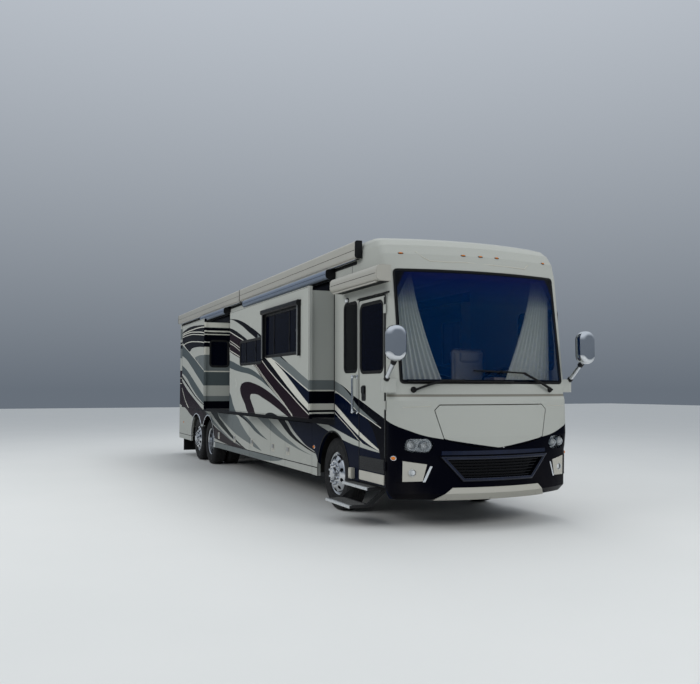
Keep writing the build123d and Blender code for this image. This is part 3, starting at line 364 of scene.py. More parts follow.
MID_STRIPES = (
    (SLATE,
     (-4.3, 2.25, -4.06, 2.215, -3.27, 2.088, -2.9, 2.057, -2.32, 1.937, -1.82, 1.785, -1.23, 1.6),
     (-4.3, 2.11, -4.06, 2.072, -3.43, 2.001, -2.9, 1.957, -2.32, 1.863, -1.82, 1.74, -1.23, 1.6)),
    (MAROON,
     (-3.47, 1.704, -3.42, 1.76, -3.34, 1.795, -3.01, 1.824, -2.62, 1.796,
      -2.17, 1.735, -1.75, 1.653, -1.29, 1.536, -0.92, 1.426, -0.4, 1.27),
     (-3.47, 1.7, -3.42, 1.613, -3.17, 1.446, -2.8, 1.256, -0.4, 1.2)),
    (CHAMPAGNE,
     (-2.82, 1.55, -2.75, 1.611, -2.5, 1.613, -2.03, 1.543, -1.55, 1.453, -1.07, 1.346, -0.6, 1.24),
     (-2.82, 1.545, -2.61, 1.38, -2.38, 1.247, -0.6, 1.2)),
    (BLACK,
     (-2.02, 1.25, -1.95, 1.28, -1.85, 1.31, -1.65, 1.325, -1.45, 1.31, -1.2, 1.25),
     (-2.02, 1.24, -1.2, 1.24)),
    # the wedge that passes behind the large window
    (BLACK,
     (-4.3, 3.03, -4.08, 3.008, -3.7, 2.965, -3.36, 2.904, -2.76, 2.753,
      -2.28, 2.612, -1.93, 2.48, -1.15, 2.206, -0.6, 2.02),
     (-4.3, 3.02, -4.08, 2.993, -3.44, 2.845, -2.92, 2.683,
      -2.51, 2.559, -2.04, 2.395, -1.15, 2.17, -0.6, 2.019)),
    (GREY,
     (-2.4, 2.62, -1.94, 2.44, -1.15, 2.18, -0.64, 2.041, -0.3, 1.931, 0.1, 1.81),
     (-2.4, 2.4, -1.94, 2.24, -1.5, 2.144, -1.05, 2.013, -0.63, 1.886, 0.1, 1.676)),
    (NAVY,
     (-1.76, 2.193, -1.5, 2.144, -1.05, 2.013, -0.63, 1.886, -0.27, 1.776, 0.1, 1.665),
     (-1.76, 2.19, -1.46, 2.105, -1.05, 1.974, -0.63, 1.797, -0.27, 1.639, 0.1, 1.485)),
    (PALE, *pin((-1.76, 2.2, -1.5, 2.152, -1.05, 2.022, -0.63, 1.896, -0.27, 1.786, 0.1, 1.68), 0.018)),
    (PALE,
     (-2.6, 2.56, -2.15, 2.4, -1.46, 2.123, -1.05, 1.974, -0.63, 1.797, -0.27, 1.639, 0.1, 1.485),
     (-2.6, 2.45, -2.15, 2.27, -1.76, 2.132, -1.24, 1.909, -0.75, 1.703, 0.1, 1.395)),
    # the broad dark sweep with its pinstripes
    (MAROON,
     SWEEP,
     (-4.3, 2.42, -3.88, 2.327, -3.48, 2.25, -2.63, 2.095, -2.18, 1.905,
      -1.69, 1.71, -1.23, 1.55, -0.6, 1.31, 0.1, 1.1)),
    (BLACK,
     SWEEP,
     (-4.3, 2.8, -3.67, 2.657, -3.24, 2.54, -2.18, 2.187, -1.76, 2.009,
      -1.23, 1.811, -0.75, 1.646, -0.35, 1.502, 0.1, 1.35)),
    (PALE, *pin(
        (-4.3, 2.8, -3.67, 2.657, -3.24, 2.557, -2.18, 2.187, -1.76, 2.009,
         -1.23, 1.811, -0.75, 1.646, -0.35, 1.502, 0.1, 1.35), 0.016)),
    (PALE, *pin(
        (-4.3, 2.63, -4.17, 2.603, -3.49, 2.438, -2.9, 2.25, -2.48, 2.1,
         -2.04, 1.911, -1.55, 1.713, -1.11, 1.538, -0.6, 1.318), 0.012)),
    (PALE, *pin(
        (-4.3, 2.565, -4.12, 2.545, -3.49, 2.387, -2.9, 2.2, -2.56, 2.095,
         -2.11, 1.911, -1.62, 1.713, -1.17, 1.546, -0.6, 1.3), 0.012)),
    (PALE, *pin((-4.3, 2.45, -4.16, 2.422, -3.49, 2.283, -2.9, 2.15, -2.63, 2.105), 0.016)),
    (SLATE, (-4.3, 1.68, -4.1, 1.57, -3.95, 1.42, -3.6, 1.2), (-4.3, 1.2, -3.6, 1.19)),
)
REAR_FIRST = (-8.02, 2.48, -7.43, 2.366, -6.88, 2.191, -6.36, 2.005, -5.6, 1.74)
REAR_SECOND = (-8.02, 2.267, -7.41, 2.137, -6.86, 1.969, -6.34, 1.789, -5.6, 1.54)
REAR_STRIPES = (
    (BLACK,
     (-7.9, 2.97, -7.47, 3.035, -6.92, 3.061, -6.31, 3.043, -5.6, 3.0),
     (-7.9, 2.78, -7.4, 2.6, -7.11, 2.52, -6.79, 2.577, -6.39, 2.585, -5.6, 2.55)),
    (PALE, *pin((-7.9, 2.94, -7.35, 2.985, -6.82, 2.995, -6.31, 2.998, -5.6, 2.96), 0.02)),
    (PALE, *pin((-7.9, 2.9, -7.24, 2.951, -6.4, 2.919, -5.6, 2.85), 0.02)),
    (PALE, *pin((-7.9, 2.88, -7.02, 2.896, -6.4, 2.864, -5.6, 2.8), 0.016)),
    (PALE, *pin((-7.9, 2.68, -7.67, 2.711, -7.12, 2.74, -6.49, 2.717, -5.6, 2.65), 0.018)),
    (GREY, (-6.9, 2.3, -6.57, 2.36, -6.28, 2.391, -5.99, 2.4, -5.6, 2.39), (-6.9, 2.1, -5.6, 2.0)),
    (SLATE, (-8.02, 2.741, -7.33, 2.568, -6.78, 2.411, -6.22, 2.239, -5.6, 2.05), REAR_FIRST),
    (PALE, *pin((-8.02, 2.755, -7.33, 2.58, -6.78, 2.423, -6.22, 2.252, -5.6, 2.062), 0.014)),
    (CHAMPAGNE, REAR_FIRST, REAR_SECOND),
    (SLATE, REAR_SECOND, (-8.02, 2.08, -7.4, 1.954, -6.85, 1.747, -6.33, 1.573, -5.6, 1.38)),
    (BLACK,
     (-8.02, 2.06, -7.17, 1.79, -6.33, 1.53, -5.73, 1.4, -5.6, 1.38),
     (-8.02, 1.99, -7.17, 1.74, -6.33, 1.5, -5.73, 1.38, -5.6, 1.36)),
    (MAROON, (-8.02, 1.96, -7.4, 1.72, -6.6, 1.5, -5.6, 1.25), (-8.02, 1.2, -5.6, 1.19)),
    (PALE, *pin((-8.02, 1.9, -7.72, 1.633, -7.37, 1.407, -7.0, 1.26), 0.03)),
)
# The long slide-out on the left carries the same sweeps, drawn out over its length from its front end
STRETCH, MID_FRONT, LEFT_FRONT = 1.93, 0.1, -0.4
LEFT_STRIPES = [
    (paint, *(moved(edge, lambda x, z: (STRETCH * (x - MID_FRONT) + LEFT_FRONT, z)) for edge in edges))
    for paint, *edges in MID_STRIPES
]
# Level bands on the ends of the slide-outs, as heights of their upper and lower edges
MID_END = (
    (GREY, 1.823, 1.686), (PALE, 1.686, 1.668), (BLACK, 1.668, 1.495), (PALE, 1.495, 1.406),
    (BLACK, 1.406, 1.375), (PALE, 1.375, 1.352), (BLACK, 1.352, 1.2),
)
REAR_END = (
    # painted shade: the black band at the top of the rear end stands for the shade under the topper
    (BLACK, 3.2, 3.07), (PALE, 3.06, 2.97), (BLACK, 2.96, 2.56), (PALE, 2.9, 2.87), (PALE, 2.83, 2.81),
    (PALE, 2.67, 2.65), (PALE, 2.56, 2.4), (GREY, 2.4, 2.07), (PALE, 2.07, 2.048), (SLATE, 2.048, 1.77),
    (CHAMPAGNE, 1.77, 1.556), (GREY, 1.556, 1.45), (BLACK, 1.45, 1.2),
)


def coach_paint(name, stripes, ends=(), wraps=False, nose=None):
    """Metallic coach paint: champagne under one plane's stripes, with bands or a nose colour where it turns."""
    shade = Shade(name, roughness=0.24)
    shade.set("Specular IOR Level", 0.012)
    x, y, z = shade.axes()
    along = x
    if wraps:
        inward = shade.math("SUBTRACT", HALF, shade.size(y))
        along = shade.math("MULTIPLY_ADD", inward, shade.math("SIGN", shade.math("ADD", x, AXLE)), x)
    colour = CHAMPAGNE
    for paint, upper, lower, *only in stripes:
        plain = colour
        colour = shade.band(colour, along, z, paint, upper, lower)
        if only:
            colour = shade.mix(shade.above(shade.times(y, only[0]), 0), plain, colour)
    if ends:
        level = CHAMPAGNE
        for paint, top, foot in ends:
            inside = shade.times(shade.below(z, top), shade.above(z, foot))
            level = shade.mix(inside, level, paint)
        turned = shade.tree.nodes.new("ShaderNodeSeparateXYZ")
        shade.link(shade.tree.nodes["Texture Coordinate"].outputs["Normal"], turned.inputs[0])
        facing = shade.above(shade.size(turned.outputs[0]), 0.7)
        colour = shade.mix(facing, colour, level)
    if nose:
        side, crease = 1.17, 1.76
        inset = shade.below(shade.size(y), side)
        colour = shade.mix(shade.times(inset, shade.above(x, crease)), colour, nose)
    flake = shade.between(shade.noise(900, 1), 0.35, 0.65, 0.94, 1.05)
    dust = shade.between(z, 0.3, 1.1, 0.05, 0.0)
    dust = shade.times(dust, shade.between(shade.noise(2.2, 6), 0.35, 0.7))
    lit = shade.node("ShaderNodeHueSaturation", {"Value": flake, "Color": colour})
    shade.set("Base Color", shade.mix(dust, lit, tone(120, 114, 103)))
    shade.set("Roughness", shade.between(shade.noise(3, 5), 0.3, 0.7, 0.2, 0.28))
    shade.bump(shade.noise(180, 2), 0.0004, 0.06)
    return shade.material


def simple(name, first, second, scale, roughness, metallic=0.0, relief=0.0, relief_scale=1.0, coat=0.0):
    """Two close tones mottled together, with uneven gloss and fine relief."""
    shade = Shade(name, roughness=roughness, metallic=metallic)
    first, second = tone(*first), tone(*second)
    shade.set("Base Color", shade.mix(shade.between(shade.noise(scale, 5), 0.35, 0.65), first, second))
    gloss = shade.noise(scale * 1.7, 4)
    shade.set("Roughness", shade.between(gloss, 0.3, 0.7, roughness * 0.85, min(1.0, roughness * 1.2)))
    shade.set("Specular IOR Level", 0.25 if sum(first[:3]) < 0.1 and not metallic else 0.5)
    if coat:
        shade.set("Coat Weight", coat)
    if relief:
        shade.bump(shade.noise(relief_scale, 4), relief, 0.6)
    return shade.material


def tinted_glass(name, colour, clear, roughness=0.03):
    """Dark safety glass: mostly a coloured reflection, with part of the view let through."""
    shade = Shade(name, roughness=roughness)
    shade.set("Base Color", shade.mix(shade.noise(0.8, 2), colour, dim(colour, 0.8)))
    shade.set("Specular IOR Level", 0.02)
    shade.set("Alpha", shade.between(shade.noise(0.4, 1), 0.3, 0.7, 1 - clear, 1 - clear * 0.8))
    return shade.material


def cab_glass():
    """Blue-green windscreen glass with its black border, and the darker panes at the sides of the cab."""
    shade = Shade("cab_glass", roughness=0.03)
    x, y, z = shade.axes()
    corner, side, head, foot = 1.78, 1.15, 3.145, 1.81
    pane = shade.below(x, corner)
    border = shade.above(shade.size(y), side)
    border = shade.math("MAXIMUM", border, shade.above(z, head))
    border = shade.math("MAXIMUM", border, shade.below(z, foot))
    band = shade.between(z, 2.75, 3.1)
    tint = shade.mix(band, tone(0, 38, 80), tone(0, 14, 64))
    tint = shade.mix(shade.math("MAXIMUM", pane, border), tint, tone(3, 5, 10))
    shade.set("Base Color", tint)
    clear = shade.math("SUBTRACT", 0.7, shade.times(band, 0.42))
    clear = shade.times(clear, shade.math("SUBTRACT", 1, border))
    clear = shade.times(clear, shade.math("SUBTRACT", 1, shade.times(pane, 0.75)))
    shade.set("Alpha", shade.math("SUBTRACT", 1, clear))
    shade.set("Specular IOR Level", 0.12)
    return shade.material


def front_fittings():
    """Black moulded grille, and bright lamp housings further out."""
    shade = Shade("front_fittings")
    _, y, _ = shade.axes()
    housing = 0.78
    outer = shade.above(shade.size(y), housing)
    shade.set("Base Color", shade.mix(outer, tone(3, 4, 9), tone(196, 202, 207)))
    shade.set("Metallic", outer)
    shade.set("Roughness", shade.between(shade.noise(60), 0.3, 0.7, 0.22, 0.3))
    shade.set("Specular IOR Level", 0.12)
    shade.bump(shade.noise(300, 3), 0.0003, 0.3)
    return shade.material


def awning_paint():
    """Champagne cases along the roof and over the door, and blue-grey ones over the slide-outs."""
    shade = Shade("awning_case", roughness=0.36)
    _, _, z = shade.axes()
    foot, top = 3.23, 3.395
    topper = shade.times(shade.below(z, top), shade.above(z, foot))
    paint = shade.mix(shade.noise(3), tone(152, 150, 142), tone(160, 158, 149))
    shade.set("Base Color", shade.mix(topper, paint, tone(122, 134, 152)))
    shade.set("Metallic", shade.times(topper, 0.5))
    shade.bump(shade.noise(120), 0.0004, 0.4)
    return shade.material


def mirror_shell():
    """Bright mirrors and handle, on feet in the colour of the cap."""
    shade = Shade("mirror_shell")
    x, _, z = shade.axes()
    rear, front, top = 1.7, 1.906, 1.826
    foot = shade.times(shade.below(x, front), shade.above(x, rear))
    foot = shade.times(foot, shade.below(z, top))
    bright = shade.mix(shade.noise(5), tone(214, 217, 221), tone(200, 204, 209))
    shade.set("Base Color", shade.mix(foot, bright, CHAMPAGNE))
    shade.set("Metallic", shade.math("SUBTRACT", 1, foot))
    shade.set("Roughness", shade.between(foot, 0, 1, 0.08, 0.26))
    shade.bump(shade.noise(200), 0.0001, 0.3)
    return shade.material


def lens(name, colour, clear):
    """Moulded lamp plastic with fine upright flutes."""
    shade = Shade(name, roughness=0.12)
    shade.set("Base Color", shade.mix(shade.noise(40, 2), colour, dim(colour, 0.82)))
    shade.set("Alpha", shade.between(shade.noise(9, 2), 0.3, 0.7, 1 - clear, 1 - clear * 0.8))
    _, y, z = shade.axes()
    shade.bump(shade.math("SINE", shade.times(shade.math("ADD", y, z), 900)), 0.0006, 0.4)
    return shade.material


# name, two close tones, scale of the mottle, roughness, metal, depth of the relief and its scale, coat
SIMPLE = (
    ("paint_roof", (196, 196, 188), (204, 204, 197), 2.5, 0.45, 0.05, 0.0006, 60),
    ("gloss_navy", (9, 16, 34), (13, 21, 42), 6, 0.14, 0.0, 0.0, 1.0, 0.25),
    ("trim_paint", (170, 167, 156), (176, 173, 162), 5, 0.35, 0.0, 0.0003, 150),
    ("grip_grey", (78, 79, 78), (96, 96, 94), 30, 0.8, 0.0, 0.0008, 260),
    ("mirror", (196, 204, 210), (190, 198, 205), 3, 0.02, 1.0),
    ("bright_alloy", (196, 200, 202), (208, 211, 212), 30, 0.3, 0.7, 0.0002, 300),
    ("seat_piping", (150, 134, 108), (164, 148, 122), 20, 0.5, 0.0, 0.0004, 300),
    ("frame_steel", (26, 27, 29), (36, 36, 37), 9, 0.55, 0.4, 0.0005, 70),
    ("engine_iron", (52, 50, 47), (70, 66, 60), 14, 0.6, 0.5, 0.001, 50),
    ("underfloor", (36, 35, 34), (50, 48, 45), 6, 0.8, 0.0, 0.001, 60),
    ("tyre_rubber", (24, 24, 25), (34, 34, 34), 12, 0.75, 0.0, 0.0008, 120),
    ("rim_alloy", (205, 207, 210), (190, 193, 197), 8, 0.16, 1.0, 0.0002, 300),
    ("axle_steel", (40, 40, 41), (58, 57, 56), 12, 0.6, 0.6, 0.0008, 60),
    ("step_alloy", (150, 152, 152), (172, 173, 172), 20, 0.4, 0.8, 0.0004, 160),
    ("chrome_trim", (214, 217, 221), (200, 204, 209), 5, 0.07, 1.0, 0.0001, 200),
    ("black_rubber", (9, 9, 10), (14, 14, 15), 20, 0.6, 0.0, 0.0004, 200),
    ("black_plastic", (10, 11, 13), (16, 17, 19), 25, 0.42, 0.0, 0.0004, 400),
    ("roof_plastic", (214, 214, 208), (224, 224, 219), 6, 0.5, 0.0, 0.0006, 220),
    ("cab_trim", (128, 118, 102), (142, 132, 116), 10, 0.6, 0.0, 0.0008, 260),
    ("seat_leather", (206, 205, 190), (217, 217, 203), 6, 0.45, 0.0, 0.0012, 180),
    ("curtain_cloth", (222, 228, 214), (232, 237, 224), 30, 0.85, 0.0, 0.0008, 500),
)


def materials():
    """All looks by name."""
    plain = {name: simple(name, *rest) for name, *rest in SIMPLE}
    return plain | {
        "paint_body": coach_paint("paint_body", BODY_STRIPES, wraps=True),
        "paint_lower": coach_paint("paint_lower", BODY_STRIPES, wraps=True, nose=tone(173, 171, 162)),
        "paint_mid": coach_paint("paint_mid", MID_STRIPES, MID_END),
        "paint_rear": coach_paint("paint_rear", REAR_STRIPES, REAR_END),
        "paint_left": coach_paint("paint_left", LEFT_STRIPES, MID_END),
        "cab_glass": cab_glass(),
        "front_fittings": front_fittings(),
        "mirror_shell": mirror_shell(),
        "amber_lens": lens("amber_lens", tone(214, 122, 30), 0.1),
        "red_lens": lens("red_lens", tone(150, 16, 18), 0.1),
        "clear_lens": lens("clear_lens", tone(236, 240, 242), 0.3),
        "glass_dark": tinted_glass("glass_dark", tone(4, 7, 20), 0.1),
        "lamp_lens": tinted_glass("lamp_lens", tone(20, 25, 31), 0.93),
        "awning_case": awning_paint(),
    }


LOOKS = materials()
DRESS = {
    "paint_body": (
        "front_cap", "front_mask", "front_bumper", "hood", "right_side_wall", "left_side_wall", "rear_cap",
        "engine_hatch", "entry_door", *[n for n in NODES if n.startswith("bay_door")],
    ),
    "paint_lower": ("lower_panels",),
    "paint_mid": ("mid_slide",),
    "paint_rear": ("rear_slide",),
    "paint_left": ("left_slide",),
    "paint_roof": ("roof",),
    "cab_glass": ("windscreen_and_cab_windows",),
    "glass_dark": ("entry_door_window", "mid_slide_windows", "rear_slide_windows", "left_slide_windows"),
    "lamp_lens": ("lamp_lenses",),
    "frame_steel": ("chassis_frame", "hitch", "entry_steps"),
    "engine_iron": ("engine_block",),
    "underfloor": ("deck_and_bays",),
    "rim_alloy": tuple(n for n in NODES if "rim" in n and "trim" not in n),
    "tyre_rubber": tuple(n for n in NODES if "tyre" in n),
    "axle_steel": ("axles_and_exhaust", "steering_knuckle_right", "steering_knuckle_left", "tie_rod"),
    "mirror_shell": ("mirrors_and_handle",),
    "black_plastic": ("steering_wheel", "window_awning"),
    "front_fittings": ("grille_and_lamp_housings",),
    "black_rubber": ("wipers_and_mud_flaps",),
    "awning_case": ("awning_cases",),
    "roof_plastic": ("roof_units",),
    "cab_trim": ("cab_furniture",),
    "seat_leather": ("cab_seats",),
    "curtain_cloth": ("curtains",),
}

for look, names in DRESS.items():
    for name in names:
        for slot in NODES[name].material_slots:
            slot.material = LOOKS[look]


# Shapes

PLANES = {"x": (1, 2, 0), "y": (0, 2, 1), "z": (0, 1, 2)}


def spot(along, a, b, level):
    """A point from its two coordinates in a plane and its level along the plane's axis."""
    point = [0.0, 0.0, 0.0]
    for index, value in zip(PLANES[along], (a, b, level)):
        point[index] = value
    return Vector(point)


def rounded(a0, a1, b0, b1, radius, steps=6):
    """A rectangle with round corners, as points with their outward directions."""
    found = []
    for a, b, start in ((a1, b1, 0), (a0, b1, 90), (a0, b0, 180), (a1, b0, 270)):
        ca = a - radius if a == a1 else a + radius
        cb = b - radius if b == b1 else b + radius
        for k in range(steps + 1):
            turn = math.radians(start + 90 * k / steps)
            across, up = math.cos(turn), math.sin(turn)
            found.append((ca + radius * across, cb + radius * up, across, up))
    return found


def corners(a0, a1, b0, b1):
    """A plain rectangle, as points."""
    return (a0, b0), (a1, b0), (a1, b1), (a0, b1)


def full_turn(steps):
    """Even angles all round."""
    return [2 * math.pi * k / steps for k in range(steps)]


def arc(a, b, radius, start, end, steps=24):
    """Part of a circle, as points with their outward directions."""
    turns = [math.radians(start + (end - start) * k / steps) for k in range(steps + 1)]
    return [(a + radius * math.cos(t), b + radius * math.sin(t), math.cos(t), math.sin(t)) for t in turns]


class Piece:
    """One visible piece, gathered from simple solids at stations in metres."""

    def __init__(self):
        self.bm = bmesh.new()

    def skin(self, rings, closed=False):
        """Joins rings of the same number of points into a tube, with its ends closed."""
        made = [[self.bm.verts.new(p) for p in ring] for ring in rings]
        neighbours = list(zip(made, made[1:]))
        if closed:
            neighbours.append((made[-1], made[0]))
        for first, second in neighbours:
            for i, corner in enumerate(first):
                j = (i + 1) % len(first)
                self.bm.faces.new((corner, first[j], second[j], second[i]))
        if not closed:
            self.bm.faces.new(made[0][::-1])
            self.bm.faces.new(made[-1])
        return self

    def slab(self, x0, x1, y0, y1, z0, z1):
        return self.prism("z", corners(*sorted((x0, x1)), *sorted((y0, y1))), z0, z1)

    def prism(self, along, outline, low, high):
        return self.skin([[spot(along, p[0], p[1], level) for p in outline] for level in (low, high)])

    def ribbon(self, along, path, section, level, closed=True):
        """A section of (outward, proud) points that follows an outline in a plane."""
        rings = [[spot(along, a + na * u, b + nb * u, level + v) for u, v in section] for a, b, na, nb in path]
        return self.skin(rings, closed)

    def tube(self, path, radius, sides=12, flat=1.0):
        """A round or flattened bar along a line of points."""
        path = [Vector(p) for p in path]
        rings = []
        for i, point in enumerate(path):
            run = (path[min(i + 1, len(path) - 1)] - path[max(i - 1, 0)]).normalized()
            side = run.cross(Vector((0, 0, 1)) if abs(run.z) < 0.95 else Vector((0, 1, 0))).normalized()
            up = side.cross(run)
            rings.append([
                point + side * radius * math.cos(t) + up * radius * flat * math.sin(t) for t in full_turn(sides)
            ])
        return self.skin(rings)

    def lathe(self, along, profile, a, b, steps=32):
        """A closed profile of (level, radius) turned about an axis through (a, b)."""
        return self.skin([
            [spot(along, a + r * math.cos(t), b + r * math.sin(t), level) for level, r in profile]
            for t in full_turn(steps)
        ], closed=True)

    def dome(self, centre, out, width, height, depth, sides=24):
        """Half an ellipsoid on its flat base, bulging outward."""
        centre, out = Vector(centre), Vector(out).normalized()
        side = out.cross(Vector((0, 0, 1)) if abs(out.z) < 0.9 else Vector((0, 1, 0))).normalized()
        up = side.cross(out)
        rings = []
        for lift in (-4, 0, 15, 30, 45, 60, 75, 85):
            wide, tall = math.cos(math.radians(max(lift, 0))) / 2, math.sin(math.radians(lift))
            rings.append([
                centre + out * depth * tall
                + side * width * wide * math.cos(t) + up * height * wide * math.sin(t)
                for t in full_turn(sides)
            ])
        return self.skin(rings)

    def done(self, name, body, look, bevel=0.0, sharp=35, stands_for=()):
        """Makes the piece, on its body and with its look, in place of the nodes it stands for."""
        bm = self.bm
        bmesh.ops.remove_doubles(bm, verts=bm.verts, dist=1e-6)
        bmesh.ops.recalc_face_normals(bm, faces=bm.faces)
        if bevel:
            edges = [e for e in bm.edges if len(e.link_faces) == 2 and e.calc_face_angle(0) > 0.7]
            bmesh.ops.bevel(bm, geom=edges, offset=bevel, segments=2, affect="EDGES", clamp_overlap=True)
        bmesh.ops.translate(bm, verts=bm.verts, vec=(AXLE, 0, 0))
        mesh = as_mesh(name, bm)
        mesh.set_sharp_from_angle(angle=math.radians(sharp))
        made = add(name, mesh)
        mesh.materials.append(LOOKS[look])
        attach(made, body)
        if stands_for:
            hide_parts(*stands_for)
        return made


def meet(node, start, towards):
    """Where a straight line from a station first meets a node, with the surface's direction there."""
    origin = Vector(start) + Vector((AXLE, 0, 0))
    found, point, normal, _ = NODES[node].ray_cast(origin, Vector(towards))
    if not found:
        raise ValueError(f"nothing of {node} at {start}")
    return point - Vector((AXLE, 0, 0)), normal


def on_front(node, y, z):
    """The same for a line from ahead of the coach straight back."""
    return meet(node, (4, y, z), (-1, 0, 0))


def over_front(node, outline, proud, thick):
    """An outline of (y, z) laid on the front of a node, as its outer and inner ring."""
    return [[on_front(node, y, z)[0] + Vector((lift, 0, 0)) for y, z in outline] for lift in (proud, -thick)]


def around(node, outline, inset, section):
    """Rings of an (outward, proud) section that follows a closed outline of (y, z) on the front of a node."""
    fine = []
    for (y0, z0), (y1, z1) in zip(outline, list(outline[1:]) + [outline[0]]):
        parts = max(1, round(math.hypot(y1 - y0, z1 - z0) / 0.08))
        fine += [(y0 + (y1 - y0) * k / parts, z0 + (z1 - z0) * k / parts) for k in range(parts)]
    count, rings = len(fine), []
    turn = sum(a[0] * b[1] - b[0] * a[1] for a, b in zip(fine, fine[1:] + fine[:1]))
    for k, (y, z) in enumerate(fine):
        before, after = fine[k - 1], fine[(k + 1) % count]
        first = Vector((0, z - before[1], before[0] - y)).normalized()
        second = Vector((0, after[1] - z, y - after[0])).normalized()
        away = (first + second) * math.copysign(1, turn) / (1 + first.dot(second))
        point, normal = on_front(node, y - away.y * inset, z - away.z * inset)
        rings.append([point + away * u + normal * v for u, v in section])
    return rings


# Wheels

# half of a tyre's section from the bead outward, as distances from its middle plane and radii
FLANK = (
    (0.102, 0.288), (0.102, 0.3), (0.127, 0.303), (0.131, 0.316), (0.1355, 0.322), (0.1345, 0.33),
    (0.139, 0.35), (0.1415, 0.378), (0.1412, 0.404), (0.1392, 0.426), (0.1405, 0.43), (0.1398, 0.436),
    (0.1365, 0.44), (0.131, 0.466), (0.1225, 0.488), (0.112, 0.4985), (0.1, 0.5035), (0.068, 0.507),
    (0.066, 0.497), (0.058, 0.497), (0.056, 0.5075), (0.027, 0.508), (0.025, 0.498), (0.017, 0.498),
    (0.015, 0.508),
)
TYRE = [(-a, r) for a, r in FLANK] + list(reversed(FLANK))


def tyre(piece, x, y, steps=120):
    """One tyre: beads, ribbed flanks, four tread grooves, and slots across the shoulders."""
    shoulder, flank, depth = 0.09, 0.47, 0.006
    rings = []
    for k, turn in enumerate(full_turn(steps)):
        ring = []
        for a, r in TYRE:
            if k % 4 == 0 and abs(a) > shoulder and r > flank:
                r -= depth
            ring.append((x + r * math.cos(turn), y + a, HUB + r * math.sin(turn)))
        rings.append(ring)
    piece.skin(rings, closed=True)


def lug_nuts(piece, x, y, side, start, height):
    """Ten domed hexagon nuts on a ring, and the valve stem."""
    for k in range(10):
        turn = math.radians(36 * k + 18)
        a, b = x + NUT_RING * math.cos(turn), HUB + NUT_RING * math.sin(turn)
        rings = []
        profile = ((0, 0.021), (0.004, 0.021), (0.005, 0.018), (height - 0.006, 0.018), (height, 0.011))
        for level, radius in profile:
            rings.append([
                (a + radius * math.cos(t), y + side * (start + level), b + radius * math.sin(t))
                for t in [math.radians(60 * n) for n in range(6)]
            ])
        piece.skin(rings)
    stem = [(x + 0.2, y + side * (start - 0.02), 0.56), (x + 0.197, y + side * (start + 0.012), 0.562)]
    piece.tube(stem, 0.005, 8)


def wheels():
    """Tyre treads and lug nuts of the front, tag and twin drive wheels."""
    for side, word in SIDES:
        for x, axle in ((0, "front"), (TAG, "tag")):
            rubber = Piece()
            tyre(rubber, x, side * SINGLE_Y)
            body = f"{axle}_wheel_{word}"
            rubber.done(f"{axle}_tyre_tread_{word}", body, "tyre_rubber", stands_for=[f"{axle}_tyre_{word}"])
            nuts = Piece()
            lug_nuts(nuts, x, side * SINGLE_Y, side, 0.159, 0.032)
            cap = ((0.196, 0.0835), (0.2, 0.0835), (0.2, 0.088), (0.196, 0.088))
            nuts.lathe("y", [(side * (SINGLE_Y + a), r) for a, r in cap], x, HUB)
            nuts.done(f"{axle}_lug_nuts_{word}", body, "chrome_trim")
        rubber = Piece()
        tyre(rubber, DRIVE, side * OUTER_Y)
        tyre(rubber, DRIVE, side * INNER_Y)
        body = f"drive_wheels_{word}"
        rubber.done(f"drive_tyre_tread_{word}", body, "tyre_rubber", stands_for=[f"drive_tyres_{word}"])
        nuts = Piece()
        lug_nuts(nuts, DRIVE, side * OUTER_Y, side, -0.139, 0.034)
        nuts.done(f"drive_lug_nuts_{word}", body, "chrome_trim")


# Doors and latches

# stations of the gaps between the bays; the left side has no second bay
SEAMS = (-0.82, -2.09, -2.89, -4.19, -5.42, -6.71)


def bay_latches():
    """A paddle in its tray with the lock under it on each bay door, and a rubber edge round the door."""
    for side, word in SIDES:
        for n, (front, rear) in enumerate(zip(SEAMS, SEAMS[1:]), 1):
            if side > 0 and n == 2:
                continue
            x = rear + 0.15
            face = side * HALF
            door = f"bay_door_{word}_{n}"
            tray = Piece()
            rim = ((0, 0), (0.006, 0), (0.005, side * 0.004), (0.001, side * 0.004))
            tray.ribbon("y", rounded(x - 0.07, x + 0.07, 0.63, 0.757, 0.02), rim, face)
            tray.prism("y", rounded(x - 0.069, x + 0.069, 0.631, 0.756, 0.02), face, face + side * 0.0015)
            tray.done(f"bay_latch_tray_{word}_{n}", door, "trim_paint")
            paddle = Piece()
            paddle.prism("y", rounded(x - 0.055, x + 0.055, 0.68, 0.747, 0.012), face, face + side * 0.011)
            lock = face + side * 0.006
            paddle.lathe("y", [(face, 0.001), (lock, 0.001), (lock, 0.011), (face, 0.011)], x, 0.656, 16)
            paddle.done(f"bay_latch_{word}_{n}", door, "step_alloy", bevel=0.002)
            edge = Piece()
            section = ((-0.003, -side * 0.03), (0.002, -side * 0.03), (0.002, -side * 0.002), (-0.003, 0))
            edge.ribbon("y", rounded(rear + 0.006, front - 0.006, 0.427, 1.178, 0.004, 1), section, face)
            edge.done(f"bay_door_seal_{word}_{n}", door, "black_rubber")


